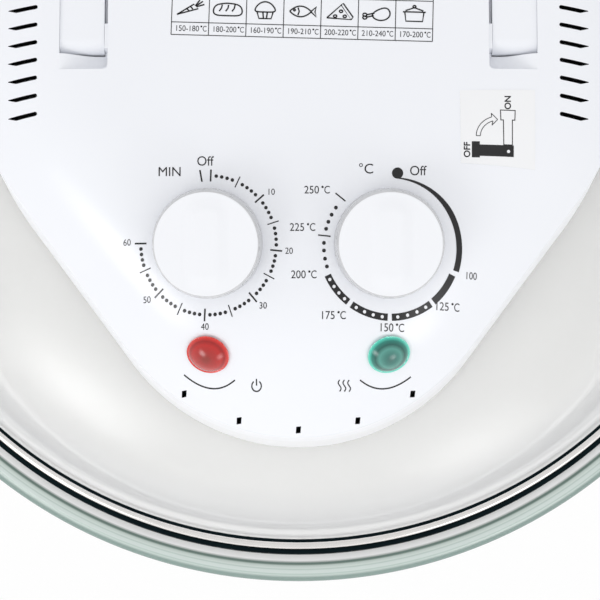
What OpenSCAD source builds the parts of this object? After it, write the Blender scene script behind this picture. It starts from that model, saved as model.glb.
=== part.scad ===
// Countertop halogen oven: a glass bowl on a round stand, and a domed glass lid with a
// control head, hinged on a tower at the back. Millimetres, +Z up, the controls face -Y.
// The oven's own axis is the line x = 0, y = axis_y, so that the whole box is centred on y = 0.

/* [Bowl] */
// Outer radius of the bowl's wall just under the lip
bowl_r = 156; // [145:1:165]
// How far the lip stands out of the wall
lip_w = 12; // [8:1:14]
// Thickness of the lip
lip_t = 8; // [6:0.5:10]
// Height of the lip's top above the table
lip_z = 204; // [190:1:225]
// Glass thickness of the bowl
bowl_t = 5; // [4:0.5:6]
// How much narrower the wall is at the bottom
bowl_taper = 6; // [2:1:10]
// Outer corner radius between wall and floor
bowl_corner = 28; // [20:1:34]
// Height of the bowl's underside above the table
bowl_z = 32; // [28:1:38]

/* [Stand] */
// Gap between the stand's shell and the table, filled by the feet
foot_h = 4; // [3:0.5:8]
// Radius of a rubber foot
foot_r = 9; // [6:0.5:11]
// Wall thickness of the stand's moulding
stand_t = 4; // [3:0.5:5]
// Radius of the open middle of the stand
stand_hole_r = 92; // [80:1:100]
// Thickness of the cradle under the bowl
deck_t = 6; // [4:0.5:8]
// Height of the stand's rim above the bowl's underside
stand_rim = 12; // [8:1:15]
// How far a side grip stands out
grip_out = 20; // [14:1:26]
// Width of a side grip
grip_w = 84; // [60:1:110]

/* [Hinge] */
// Width of the hinge tower
tower_w = 60; // [52:1:72]
// Depth of the hinge tower
tower_d = 28; // [26:1:34]
// Gap between the bowl's lip and the tower
tower_gap = 3; // [2:0.5:6]
// Height of the hinge pin above the lip
hinge_lift = 12; // [11:0.5:16]
// Radius of the hinge pin
pin_r = 3; // [2.5:0.25:4]
// Radius of the barrel round the hinge pin
barrel_r = 8; // [7:0.5:9]
// Thickness of an ear of the tower
ear_t = 11; // [9:0.5:13]
// Width of the lid's hinge arm over the dome
arm_w = 34; // [28:1:36]
// Thickness of that arm halfway to the head
arm_t = 8.4; // [7:0.2:10]

/* [Glass lid] */
// How much wider than the bowl's wall the dome's ellipse is
dome_lap = 2; // [0.5:0.25:3]
// Height of the dome's ellipse
dome_h = 62; // [58:1:66]
// Glass thickness of the dome
dome_t = 4; // [3:0.5:5]
// Radius of the hole in the top of the dome
dome_hole_r = 88; // [84:0.5:92]
// Thickness of the silicone seal between lid and lip
seal_t = 2.6; // [2:0.2:3.4]
// Width of the steel band seen from above
band_w = 3.2; // [2.6:0.2:4]

/* [Head] */
// Radius of the head's round back part
head_r = 109; // [105:1:113]
// Distance of that round's centre behind the oven's axis
head_back = 10; // [4:1:14]
// Radius of the rounded front tongue
tongue_r = 69; // [64:1:74]
// Distance of that round's centre in front of the oven's axis
tongue_front = 57; // [52:1:60]
// Height of the head's top above the edge of the dome's hole
head_h = 61.5; // [58:0.5:70]
// Height of the joint between cover and lower shell above the edge of the dome's hole
split_h = 6.5; // [5.5:0.5:8.5]
// Wall thickness of the head's shells
head_t = 2.6; // [2.2:0.2:3]
// How far the crown falls towards the tip
front_drop = 27; // [20:1:30]
// Steepness of that fall
front_pow = 3.1; // [2.8:0.1:3.6]
// How far the crown falls towards the outline
edge_drop = 18; // [12:1:20]
// Width of the rounded shoulder inside the outline
edge_w = 45; // [38:1:50]
// Radius rolled on the cover's edge
roll_r = 2.2; // [1.5:0.1:3]
// Gap between the head's underside and the dome
dome_gap = 2.5; // [2:0.5:4]

/* [Vents] */
// Vent slots on each side
vent_n = 15; // [8:1:15]
// Distance between vent slots
vent_pitch = 5.6; // [5:0.1:6]
// Length of a vent slot
vent_l = 9.5; // [7:0.5:11]
// Width of a vent slot
vent_w = 1.3; // [1:0.1:1.8]
// Distance of the slots' middle from the centre plane
vent_x = 87.6; // [85.6:0.2:88.6]
// Side of a small square hole along the front edge
drain_w = 1.8; // [1.4:0.1:2.4]

/* [Handle] */
// Width of a handle arm
handle_w = 14; // [12:0.5:15]
// Thickness of a handle arm
handle_t = 14; // [12:0.5:14]
// Distance between the inner faces of the two arms
handle_gap = 121.4; // [118:0.2:122]
// Side clearance between an arm and its pocket
pocket_gap = 1.1; // [0.8:0.1:1.6]
// Distance from the pivot to the arm's front end
handle_toe = 9.5; // [8:0.5:10]
// Clear finger space between the head and the handle's bar
finger_gap = 16; // [14:1:22]
// Radius of the handle's pivot pins
pivot_r = 3; // [2.5:0.25:3.5]
// Travel of the safety switch's plunger
switch_travel = 2.5; // [1.5:0.25:3]

/* [Controls] */
// Distance of a dial's axis from the centre plane
knob_x = 28.2; // [27:0.2:30]
// Distance of the dials in front of the oven's axis
knob_front = 69.7; // [68:0.1:71]
// Radius of a knob at its foot
knob_r = 17.2; // [15:0.2:18]
// Radius of a knob at its top
knob_top_r = 16.2; // [14:0.2:17]
// Height of a knob with its grip bar
knob_h = 12; // [11:0.5:14]
// Width of a knob's grip bar
knob_bar_w = 10; // [8:0.5:12]
// Height of the bar above the knob's face
knob_bar_h = 2; // [1:0.25:3]
// Distance of a light from the centre plane
light_x = 28.3; // [26:0.1:30]
// Distance of the lights in front of the oven's axis
light_front = 102.3; // [100:0.1:104]
// Radius of a light's lens
light_r = 6.8; // [6:0.1:7.4]
// How far a lens bulges out of the cover
light_h = 3.4; // [2.5:0.1:4.5]
// Radius of a control shaft
shaft_r = 3; // [2.5:0.25:3.25]
// Radius of the round timer
timer_r = 17; // [14:0.5:17]
// Height of the timer
timer_h = 24; // [18:1:26]
// Width of the thermostat
thermo_w = 27; // [22:1:28]
// Height of the thermostat
thermo_h = 18; // [14:1:24]

/* [Heater and fans] */
// Radius of the halogen ring's centre line
lamp_ring_r = 56; // [53:0.5:60]
// Radius of the halogen tube
lamp_r = 5; // [4:0.25:5.5]
// Radius of the convection fan
hot_fan_r = 42; // [36:0.5:44]
// Radius of the cooling fan
cool_fan_r = 44; // [38:0.5:45]
// Radius of the motor's rotor
rotor_r = 14.6; // [12:0.2:15.4]
// Depth of the reflector pan
pan_d = 6; // [4.5:0.5:7]
// Wire radius of the lamp guard
wire_r = 1.2; // [1:0.1:1.6]
// Radius of the lamp guard's outer ring
guard_r = 76; // [72:0.5:77]

/* [Hidden] */
$fn = 96;
run = 0.05;   // radial clearance of a running fit
fit = 0.15;   // clearance between seated pieces
eps = 0.01;
lip_r = bowl_r + lip_w;
// hinge
tower_y0 = lip_r + tower_gap;
tower_y1 = tower_y0 + tower_d;
hinge_y = tower_y0 + tower_d * 0.6;
hinge_z = lip_z + hinge_lift;
saddle_z = hinge_z - barrel_r - 2;
barrel_w = tower_w - 2 * ear_t - 1;
// the whole box runs from the lip's front edge to the tower's back
axis_y = (lip_r - tower_y1) / 2;
// stand
stand_top = bowl_z + stand_rim;
bowl_foot_r = bowl_r - bowl_taper - bowl_corner;
stand_gap = 1.5;
stand_r = bowl_foot_r + sqrt(pow(bowl_corner, 2) - pow(bowl_corner - stand_rim, 2))
    + stand_gap + stand_t;
tongue_t = foot_h + 14;
tongue_hw = tower_w / 2 + 4;
// lid
dome_r = bowl_r + dome_lap;
dome_z = lip_z - 7;
rest_z = lip_z + 0.2;
seal_z = rest_z + seal_t;
seal_wall = 1.4;
band_top = seal_z + 3.4;
function dome_out(r) = dome_z + dome_h * sqrt(max(0, 1 - pow(r / dome_r, 2)));
function dome_in(r) = dome_z + (dome_h - dome_t) * sqrt(max(0, 1 - pow(r / (dome_r - dome_t), 2)));
function dome_out_r(z) = dome_r * sqrt(1 - pow((z - dome_z) / dome_h, 2));
function dome_in_r(z) = (dome_r - dome_t) * sqrt(1 - pow((z - dome_z) / (dome_h - dome_t), 2));
band_in = dome_out_r(band_top) + fit;
band_out = band_in + band_w;
seal_out = band_out + fit + seal_wall;
// head outline: two rounds joined by their tangents; a support is [centre y, radius, normal]
lean = asin((head_r - tongue_r) / (head_back + tongue_front));
n_back = 36;
n_side = 5;
n_tip = 22;
SUPPORTS = concat(
    [for (i = [0:n_back]) [head_back, head_r, -lean + i * (180 + 2 * lean) / n_back]],
    [for (i = [1:n_side - 1]) let (k = i / n_side)
        [head_back - k * (head_back + tongue_front), head_r + k * (tongue_r - head_r), 180 + lean]],
    [for (i = [0:n_tip]) [-tongue_front, tongue_r, 180 + lean + i * (180 - 2 * lean) / n_tip]],
    [for (i = [1:n_side - 1]) let (k = i / n_side)
        [k * (head_back + tongue_front) - tongue_front, tongue_r + k * (head_r - tongue_r), -lean]]);
function rim_pt(s, d) = [(s[1] - d) * cos(s[2]), s[0] + (s[1] - d) * sin(s[2])];
function inset(x, y) = min([for (s = SUPPORTS) s[1] - x * cos(s[2]) - (y - s[0]) * sin(s[2])]);
seat_z = dome_out(dome_hole_r);
head_top = seat_z + head_h;
split_z = seat_z + split_h;
tip_y = tongue_front + tongue_r;
function crown(y, d) = head_top - front_drop * pow(max(0, -y) / tip_y, front_pow)
    - edge_drop * pow(max(0, 1 - d / edge_w), 3);
function crown_at(x, y) = crown(y, inset(x, y));
function crown_normal(x, y) = let (h = 0.5,
    gx = (crown_at(x + h, y) - crown_at(x - h, y)) / (2 * h),
    gy = (crown_at(x, y + h) - crown_at(x, y - h)) / (2 * h),
    n = [-gx, -gy, 1]) n / norm(n);
cover_t = head_t + 0.6;
// handle and its pockets
arm_x0 = handle_gap / 2;
arm_x1 = arm_x0 + handle_w;
pivot_z = head_top - 1 - handle_t / 2;
pocket_floor = pivot_z - norm([handle_toe, handle_t / 2]) - 3.5;
pocket_front = handle_toe + 5.5;
bar_y0 = head_back + head_r + finger_gap;
bar_y1 = bar_y0 + handle_t;
plunger_y = 38;
plunger_r = 2;
// floor of the head, reflector and what hangs under it
floor_z0 = dome_in(dome_hole_r) - 1.6;
floor_z1 = floor_z0 + head_t;
spigot_r = dome_hole_r - 1.5;
shaft_hole_r = 7;
side_in = 0.03;
sheet_t = 0.8;
flange_r = dome_hole_r + 5;
flange_z = dome_in(flange_r) - 1;
pan_r = spigot_r - 4;
pan_z = flange_z - sheet_t - pan_d;
lamp_open = 20;   // degrees left open between the halogen ring's ends
lamp_drop = 14;
lamp_end_h = 10;
clip_w = 6;
guard_gap = 4;
lamp_z = pan_z - lamp_drop;
guard_z = lamp_z - lamp_r - guard_gap;
fan_top = pan_z - 2;
vane_h = 8;
cool_fan_h = 9;
cool_hub_r = 9;
blade_w = 16;
blade_t = 1.4;
// motor
post_h = 7;
bracket_t = 2;
pad_h = 8;
stack_h = 16;
bracket_z = floor_z1 + post_h;
stack_z = bracket_z + bracket_t + pad_h;
stack_top = stack_z + stack_h;
bearing_z = stack_top + pad_h + bracket_t;
cool_fan_z = bearing_z + 3;
motor_w = 58;
limb_y0 = 30;
limb_y1 = 40;
// small electric parts
neon_r = 3;
neon_h = 10;
term = [36, 13, 13];
term_y = 54;
fuse_at = [-60, -20];
fuse_r = 2.2;
fuse_l = 18;
// controls
bush_r = 5;
box_drop = cover_t + 5.2;
// fasteners
screw_r = 1.5;
cover_screws = [[80, 68], [46, -84]];
gland_a = 65;
gland_r = 7;
gland_bore = 3.8;
gland_up = 13;
gland_z = split_z + gland_up;
gland_in = 8;
gland_out = 16;

// ---- shared shapes ----
module both_sides() {
    children();
    mirror([1, 0, 0]) children();
}

module ring(r_in, r_out, z0, z1) {
    translate([0, 0, z0]) difference() {
        cylinder(r = r_out, h = z1 - z0);
        translate([0, 0, -1]) cylinder(r = r_in, h = z1 - z0 + 2);
    }
}

// the plan of the head, drawn in by d; its straight sides lie a hair inside the
// tangents, so that they cross the arcs at a clear angle
module head_plan(d = 0) {
    translate([0, head_back]) circle(r = head_r - d);
    translate([0, -tongue_front]) circle(r = tongue_r - d);
    polygon([for (a = [-lean, 180 + lean], s = a < 0 ?
            [[head_back, head_r], [-tongue_front, tongue_r]]
            : [[-tongue_front, tongue_r], [head_back, head_r]])
        rim_pt([s[0], s[1], a], d + side_in)]);
}

// a closed skin through rings of points, from the lowest ring to an end point
module skin(rings, end) {
    n = len(rings[0]);
    pts = concat([for (ring = rings) each ring], [end]);
    last = len(rings) - 1;
    polyhedron(points = pts, faces = concat(
        [[for (i = [0:n - 1]) i]],
        [for (k = [0:last - 1], i = [0:n - 1]) let (a = k * n + i, b = k * n + (i + 1) % n)
            each [[a, a + n, b], [b, a + n, b + n]]],
        [for (i = [0:n - 1]) [last * n + i, len(pts) - 1, last * n + (i + 1) % n]]), convexity = 6);
}

// a ring of the crown at inset d, sunk by t
function crown_ring(d, t) = [for (s = SUPPORTS) let (p = rim_pt(s, d)) [p[0], p[1], crown(p[1], d) - t]];
function shrunk_ring(d, k, t) = [for (s = SUPPORTS) let (p = rim_pt(s, d), y = p[1] * k - 20 * (1 - k))
    [p[0] * k, y, crown(y, edge_w) - t]];
function wall_ring(d, z) = [for (s = SUPPORTS) let (p = rim_pt(s, d)) [p[0], p[1], z]];
function roll_ring(a) = [for (s = SUPPORTS) let (p = rim_pt(s, roll_r * (1 - cos(a))), q = rim_pt(s, roll_r))
    [p[0], p[1], crown(q[1], roll_r) - roll_r * (1 - sin(a))]];

module cover_outside() {
    skin(concat([wall_ring(0, split_z)], [for (a = [0:30:90]) roll_ring(a)],
        [for (d = [5, 9, 14, 20, 28, edge_w]) crown_ring(d, 0)],
        [for (k = [0.7, 0.4, 0.15]) shrunk_ring(edge_w, k, 0)]), [0, -20, crown(-20, edge_w)]);
}

module cover_inside() {
    skin(concat([wall_ring(head_t, split_z - 1)],
        [for (d = [head_t, head_t + 3, 12, 20, 30, edge_w]) crown_ring(d, cover_t)],
        [for (k = [0.6, 0.25]) shrunk_ring(edge_w, k, cover_t)]), [0, -20, crown(-20, edge_w) - cover_t]);
}

// puts its children on the cover at x, y, turned to the cover's normal
module on_cover(x, y) {
    n = crown_normal(x, y);
    translate([x, y, crown_at(x, y)])
        rotate(a = acos(n[2]), v = [-n[1], n[0], 0]) children();
}

module knob_place(side) { on_cover(side * knob_x, -knob_front) children(); }
module light_place(side) { on_cover(side * light_x, -light_front) children(); }

// ---- stand, tower and bowl ----
function corner_arc(z_rim) = let (a1 = acos(1 - (z_rim - bowl_z) / bowl_corner), r = bowl_corner + stand_gap)
    [for (i = [0:6]) let (a = -90 + a1 * i / 6)
        [bowl_foot_r + r * cos(a), bowl_z + bowl_corner + r * sin(a)]];
function corner_z(r) = bowl_z + bowl_corner - sqrt(pow(bowl_corner + stand_gap, 2) - pow(r - bowl_foot_r, 2));

// the outer wall of the stand
module base_stand() {
    color("whitesmoke") difference() {
        rotate_extrude() polygon([[stand_r - stand_t, foot_h], [stand_r - 0.8, foot_h], [stand_r, foot_h + 0.8],
            [stand_r, stand_top - 0.8], [stand_r - 0.8, stand_top], [stand_r - stand_t, stand_top]]);
        tail_screws_at() translate([0, 0, -stand_t - 1]) cylinder(r = screw_r, h = stand_t + 3);
    }
}

// the cradle ring inside the wall, which carries the bowl
module stand_deck() {
    deck_r = stand_r - stand_t - fit;
    deck_z = bowl_z - deck_t;
    color("whitesmoke") rotate_extrude() polygon(concat(
        [[stand_hole_r, deck_z], [stand_hole_r, bowl_z], [bowl_foot_r - 4, bowl_z]],
        [for (p = corner_arc(stand_top)) if (p[1] > bowl_z - stand_gap + 0.02 && p[0] < deck_r - 0.5) p],
        [[deck_r, corner_z(deck_r)], [deck_r, deck_z]]));
}

module front_posts_at() {
    a = 42;   // degrees from the front
    r = stand_r - stand_t - foot_r - 2;
    for (s = [-1, 1]) translate([s * r * sin(a), -r * cos(a), 0]) children();
}

// posts under the cradle, with the front feet in their ends
module stand_posts() {
    color("whitesmoke") front_posts_at() translate([0, 0, foot_h]) cylinder(r = foot_r + 1, h = bowl_z - deck_t - foot_h);
}

// the plate behind the wall, which carries the hinge tower
module stand_tail() {
    y1 = tower_y1;
    color("whitesmoke") difference() {
        translate([-tongue_hw, 0, foot_h]) cube([2 * tongue_hw, y1, tongue_t - foot_h]);
        cylinder(r = stand_r + fit / 3, h = stand_top);
        tower_screws_at() translate([0, 0, foot_h - 1]) cylinder(r = screw_r + 1, h = tongue_t);
        tower_screws_at() translate([0, 0, foot_h - 1]) cylinder(r = 5, h = 5);
        tail_screws_at() translate([0, 0, -1]) cylinder(r = screw_r, h = 15);
    }
}

module tail_screws_at() {
    x = tower_w / 4 + 7;
    for (s = [-1, 1]) translate([s * x, sqrt(stand_r * stand_r - x * x), (foot_h + tongue_t) / 2])
        rotate([-90, 0, 0]) children();
}

module tail_screws() {
    color("silver") tail_screws_at() {
        translate([0, 0, -stand_t - 3]) cylinder(r = 3, h = 2.2);
        translate([0, 0, -stand_t - 1]) cylinder(r = screw_r, h = stand_t + 13);
    }
}

// a finger grip on each side of the wall
module side_grips() {
    color("whitesmoke") both_sides() intersection() {
        ring(stand_r + fit / 3, stand_r + grip_out, bowl_z - 10, bowl_z - 2);
        translate([stand_r / 2, -grip_w / 2, 0]) cube([stand_r, grip_w, stand_top]);
    }
}

module feet_at() {
    front_posts_at() children();
    for (s = [-1, 1]) translate([s * (tongue_hw - foot_r - 2), tower_y1 - foot_r - 3, 0]) children();
}

module base_feet() {
    color("dimgray") feet_at() union() {
        cylinder(r1 = foot_r - 1.2, r2 = foot_r, h = 1.5);
        translate([0, 0, 1.5]) cylinder(r = foot_r, h = foot_h - 1.5);
    }
}

module tower_screws_at() {
    for (x = [-tower_w / 4, 0, tower_w / 4]) translate([x, (tower_y0 + tower_y1) / 2 - 4, 0]) children();
}

module hinge_tower() {
    rib_z = saddle_z - 12;
    color("whitesmoke") difference() {
        union() {
            translate([-tower_w / 2, tower_y0, tongue_t]) cube([tower_w, tower_d, saddle_z - tongue_t]);
            both_sides() hull() {
                translate([tower_w / 2 - ear_t, hinge_y, hinge_z]) rotate([0, 90, 0])
                    cylinder(r = barrel_r, h = ear_t, $fn = 32);
                translate([tower_w / 2 - ear_t, hinge_y - barrel_r, saddle_z - 1])
                    cube([ear_t, 2 * barrel_r, 1]);
            }
        }
        both_sides() translate([3, tower_y0 + stand_t, tongue_t + 12])
            cube([tower_w / 2 - 3 - stand_t, tower_d, rib_z - tongue_t - 12]);
        translate([-tower_w, hinge_y, hinge_z]) rotate([0, 90, 0]) cylinder(r = pin_r, h = 2 * tower_w);
        tower_screws_at() translate([0, 0, tongue_t - 1]) cylinder(r = screw_r, h = 11);
    }
}

module tower_screws() {
    color("silver") tower_screws_at() {
        translate([0, 0, foot_h + 1]) cylinder(r = 4.5, h = 3);
        translate([0, 0, foot_h + 3]) cylinder(r = screw_r, h = tongue_t - foot_h + 5);
    }
}

module hinge_pin() {
    color("silver") translate([-tower_w / 2 - 1, hinge_y, hinge_z]) rotate([0, 90, 0]) {
        cylinder(r = pin_r, h = tower_w + 2);
        translate([0, 0, -1]) cylinder(r = pin_r + 2, h = 1.5);
        translate([0, 0, tower_w + 1.5]) cylinder(r = pin_r + 2, h = 1.5);
    }
}

module glass_bowl() {
    rc = bowl_corner;
    ri = rc - bowl_t;
    foot = bowl_foot_r;
    wall_r = bowl_r - bowl_taper;
    color("azure", 0.4) rotate_extrude($fn = 120) polygon(concat(
        [[0, bowl_z]],
        [for (a = [-90:15:0]) [foot + rc * cos(a), bowl_z + rc + rc * sin(a)]],
        [[bowl_r, lip_z - lip_t]],
        [for (a = [-90:22.5:90]) [lip_r - lip_t / 2 + lip_t / 2 * cos(a), lip_z - lip_t / 2 + lip_t / 2 * sin(a)]],
        [[bowl_r - bowl_t + 1.5, lip_z], [bowl_r - bowl_t, lip_z - 1.5]],
        [for (a = [0:-15:-90]) [foot + ri * cos(a), bowl_z + rc + ri * sin(a)]],
        [[0, bowl_z + bowl_t]]));
}

// ---- glass lid ----
module lid_glass() {
    r_edge = dome_out_r(seal_z);
    r_in = dome_in_r(seal_z);
    n = 14;
    color("azure", 0.4) rotate_extrude($fn = 120) polygon(concat(
        [for (i = [0:n]) let (r = dome_hole_r + (r_edge - dome_hole_r) * (1 - pow(1 - i / n, 1.6)))
            [r, i == n ? seal_z : dome_out(r)]],
        [for (i = [n:-1:0]) let (r = dome_hole_r + (r_in - dome_hole_r) * (1 - pow(1 - i / n, 1.6)))
            [r, i == n ? seal_z : dome_in(r)]]));
}

module lid_band() {
    color("silver") rotate_extrude($fn = 120) polygon(concat(
        [for (i = [0:3]) let (z = seal_z + (band_top - seal_z) * i / 3) [dome_out_r(z) + fit, z]],
        [[band_out - 0.6, band_top - 0.8], [band_out, band_top - 1.5], [band_out, seal_z]]));
}

module lid_seal() {
    r_in = dome_in_r(seal_z) + 1.8;
    color("#141a1c") rotate_extrude($fn = 120) polygon([
        [r_in, rest_z + 0.6], [r_in + 0.6, rest_z], [seal_out - 1, rest_z], [seal_out, rest_z + 1],
        [seal_out, band_top - 2], [seal_out - 0.6, band_top - 1.4], [band_out + fit, band_top - 1.4],
        [band_out + fit, seal_z], [r_in, seal_z]]);
}

module lid_hinge_arm() {
    lift = 0.4;
    n = 12;
    y_head = head_back + head_r;
    y_band = seal_out + 1;
    y_mid = (y_head + band_in) / 2;
    path = concat(
        [[hinge_y, hinge_z - barrel_r], [y_band + 6, band_top + lift], [band_in + lift, band_top + lift]],
        [for (i = [1:n]) let (y = band_in + lift - (band_in + lift - y_head + 8) * pow(i / n, 1.5))
            [y, dome_out(y) + 2 * lift]],
        [[y_head - 8, split_z - 1], [y_head + 2, split_z - 1], [y_mid, dome_out(y_mid) + arm_t],
            [y_band + 4, band_top + arm_t + 4.6], [hinge_y - 2, hinge_z + barrel_r]]);
    color("whitesmoke") difference() {
        union() {
            translate([arm_w / 2, 0, 0]) rotate([90, 0, -90]) linear_extrude(arm_w)
                polygon([for (p = path) [-p[0], p[1]]]);
            translate([-barrel_w / 2, hinge_y, hinge_z]) rotate([0, 90, 0]) cylinder(r = barrel_r, h = barrel_w);
        }
        translate([-tower_w, hinge_y, hinge_z]) rotate([0, 90, 0]) cylinder(r = pin_r + run, h = 2 * tower_w);
        translate([0, head_back, dome_z]) cylinder(r = head_r + eps, h = head_h);
        arm_screws_at() translate([0, 0, 2]) cylinder(r = screw_r, h = 16);
    }
}

module arm_screws_at() {
    y = head_back + head_r - head_t - 1;
    for (s = [-1, 1]) translate([s * arm_w / 4, y, dome_out(y) + dome_gap + head_t + 3.6])
        rotate([-90, 0, 0]) children();
}

module arm_screws() {
    color("silver") arm_screws_at() {
        translate([0, 0, -2]) cylinder(r = 3, h = 2.2);
        cylinder(r = screw_r, h = 15);
    }
}

module glass_gasket() {
    color("#30343a") ring(dome_hole_r + 0.6, flange_r, flange_z + fit / 3, flange_z + 0.9);
}

// ---- head ----
// everything under the dome's outer surface raised by d
module under_dome(d) {
    n = 10;
    r1 = dome_r + 6;
    rotate_extrude($fn = 120) polygon(concat([[0, 0], [r1, 0], [r1, dome_z + d]],
        [for (i = [0:n]) let (r = dome_r - (dome_r - dome_hole_r + 4) * pow(i / n, 1.6)) [r, dome_out(r) + d]],
        [[0, dome_out(dome_hole_r - 4) + d]]));
}

module head_base() {
    z0 = dome_out(tip_y) - 6;
    color("whitesmoke") difference() {
        union() {
            difference() {
                translate([0, 0, z0]) linear_extrude(split_z - z0) head_plan();
                difference() {
                    translate([0, 0, z0 - 1]) linear_extrude(split_z - z0 + 2) head_plan(head_t);
                    under_dome(dome_gap + head_t);
                }
                under_dome(dome_gap);
                cylinder(r = spigot_r - 1, h = split_z + 1);
            }
            ring(spigot_r - head_t, spigot_r, floor_z0, dome_out(dome_hole_r) + dome_gap + head_t / 2);
            translate([0, 0, floor_z0]) cylinder(r = spigot_r - 1, h = head_t);
            motor_posts_at() translate([0, 0, floor_z1 - 1]) cylinder(r = 4, h = post_h + 1);
            difference() {
                cover_screws_at() translate([0, 0, z0]) cylinder(r = 4.5, h = split_z - z0);
                under_dome(dome_gap);
            }
        }
        cylinder(r = shaft_hole_r, h = split_z);
        cover_screws_at() cylinder(r = screw_r + 0.2, h = split_z + 1);
        cover_screws_at() cylinder(r = 3.2, h = split_z - 4);
        arm_screws_at() translate([0, 0, -1]) cylinder(r = screw_r, h = 9);
        motor_posts_at() translate([0, 0, floor_z1 + 1]) cylinder(r = 1.2, h = post_h + 2);
    }
}

module cover_screws_at() {
    for (p = cover_screws, s = [-1, 1]) translate([s * p[0], p[1], 0]) children();
}

module cover_screws() {
    color("silver") cover_screws_at() {
        translate([0, 0, split_z - 6.4]) cylinder(r = 2.8, h = 2.3);
        translate([0, 0, split_z - 5]) cylinder(r = screw_r, h = 16);
    }
}

module pockets(grow, floor_grow) {
    x0 = arm_x0 - pocket_gap - grow;
    both_sides() translate([x0, -pocket_front - grow, pocket_floor - floor_grow])
        cube([handle_w + 2 * pocket_gap + 2 * grow, head_r + head_back + pocket_front + 20, head_top]);
}

module vents() {
    y0 = -29;
    both_sides() for (i = [0:vent_n - 1])
        translate([vent_x, y0 + i * vent_pitch, head_top - 22]) rotate([0, 0, -7.5])
            translate([-vent_l / 2, -vent_w / 2, 0]) cube([vent_l, vent_w, 40]);
}

module drains() {
    r = tongue_r - 2.2;
    for (a = [-33, -16.5, 0, 16.5, 33])
        translate([r * sin(a), -tongue_front - r * cos(a), split_z])
            translate([-drain_w / 2, -drain_w / 2, 0]) cube([drain_w, drain_w, head_h]);
}

module head_cover() {
    color("whitesmoke") difference() {
        union() {
            difference() {
                cover_outside();
                cover_inside();
            }
            intersection() {
                cover_outside();
                union() {
                    pockets(head_t, head_t);
                    cover_screws_at() translate([0, 0, split_z + 0.1]) cylinder(r = 4, h = head_h);
                }
            }
        }
        pockets(0, 0);
        vents();
        drains();
        for (s = [-1, 1]) {
            knob_place(s) translate([0, 0, -15]) cylinder(r = bush_r + 0.2, h = 30);
            light_place(s) translate([0, 0, -15]) cylinder(r = light_r - 1 + 0.2, h = 30);
        }
        cover_screws_at() translate([0, 0, split_z - 1]) cylinder(r = screw_r, h = 14);
        pivots(pivot_r, arm_x0 - 9, arm_x1 + 9);
        translate([-(arm_x0 + arm_x1) / 2, plunger_y, pocket_floor - 10]) cylinder(r = plunger_r + run, h = 20);
        gland_place() cylinder(r = gland_r + run, h = 30, center = true);
    }
}

module pivots(r, x0, x1) {
    both_sides() translate([x0, 0, pivot_z]) rotate([0, 90, 0]) cylinder(r = r, h = x1 - x0);
}

module handle_pins() {
    color("silver") pivots(pivot_r - fit / 3, arm_x0 - 5, arm_x1 + 5);
}

module handle() {
    r = 3;
    color("whitesmoke") difference() {
        union() {
            both_sides() translate([arm_x0, 0, pivot_z]) rotate([90, 0, 90]) linear_extrude(handle_w)
                hull() for (y = [-handle_toe + r, bar_y1 - r], z = [-1, 1])
                    translate([y, z * (handle_t / 2 - r)]) circle(r = r, $fn = 32);
            translate([-arm_x0 - 1, 0, pivot_z]) rotate([90, 0, 90]) linear_extrude(2 * arm_x0 + 2)
                hull() for (y = [bar_y0 + r, bar_y1 - r], z = [-1, 1])
                    translate([y, z * (handle_t / 2 - r)]) circle(r = r, $fn = 32);
        }
        pivots(pivot_r + run, arm_x0 - 1, arm_x1 + 1);
    }
}

module switch_block() {
    translate([-(arm_x0 + arm_x1) / 2 - 6, plunger_y - 11, pocket_floor - head_t - 15]) cube([12, 22, 15 - fit]);
}

module safety_switch() {
    color("black") difference() {
        switch_block();
        translate([-(arm_x0 + arm_x1) / 2, plunger_y, pocket_floor - head_t - 12]) cylinder(r = plunger_r + run, h = 20);
    }
}

module switch_plunger() {
    top = pivot_z - handle_t / 2 - fit;
    z0 = pocket_floor - head_t - 11;
    color("firebrick") translate([-(arm_x0 + arm_x1) / 2, plunger_y, z0]) cylinder(r = plunger_r, h = top - z0);
}

// ---- heater under the head ----
module reflector_pan() {
    t = sheet_t;
    color("silver") rotate_extrude() polygon([
        [shaft_hole_r, pan_z], [pan_r, pan_z], [pan_r + 2, flange_z - t], [flange_r, flange_z - t],
        [flange_r, flange_z], [pan_r + 1.2, flange_z], [pan_r - 0.8, pan_z + t], [shaft_hole_r, pan_z + t]]);
}

module heat_shield() {
    color("antiquewhite") ring(shaft_hole_r + 1, pan_r - 3, pan_z + sheet_t + fit / 3, floor_z0 - fit / 3);
}

module lamp_ends_at() {
    for (s = [-1, 1]) rotate([0, 0, s * lamp_open / 2]) translate([0, lamp_ring_r, 0]) children();
}

module halogen_ring() {
    color("lightyellow") translate([0, 0, lamp_z]) {
        rotate([0, 0, 90 + lamp_open / 2]) rotate_extrude(angle = 360 - lamp_open)
            translate([lamp_ring_r, 0]) circle(r = lamp_r);
        lamp_ends_at() cylinder(r = lamp_r - 0.2, h = lamp_end_h);
    }
}

module lamp_caps() {
    z0 = lamp_z + 6;
    color("ivory") lamp_ends_at() difference() {
        translate([0, 0, z0]) cylinder(r = lamp_r + 2.2, h = pan_z - fit / 3 - z0);
        translate([0, 0, z0 - 1]) cylinder(r = lamp_r + fit, h = 6);
    }
}

module lamp_clips() {
    bore = lamp_r + 0.3;
    color("silver") for (a = [0, 120, 240]) rotate([0, 0, a - 90]) translate([lamp_ring_r, 0, lamp_z]) {
        rotate([90, 0, 0]) difference() {
            cylinder(r = bore + 1, h = clip_w, center = true);
            cylinder(r = bore, h = clip_w + 2, center = true);
        }
        translate([-2, -clip_w / 2, bore + 0.5]) cube([4, clip_w, pan_z - lamp_z - bore - 0.5 - fit / 3]);
    }
}

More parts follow.
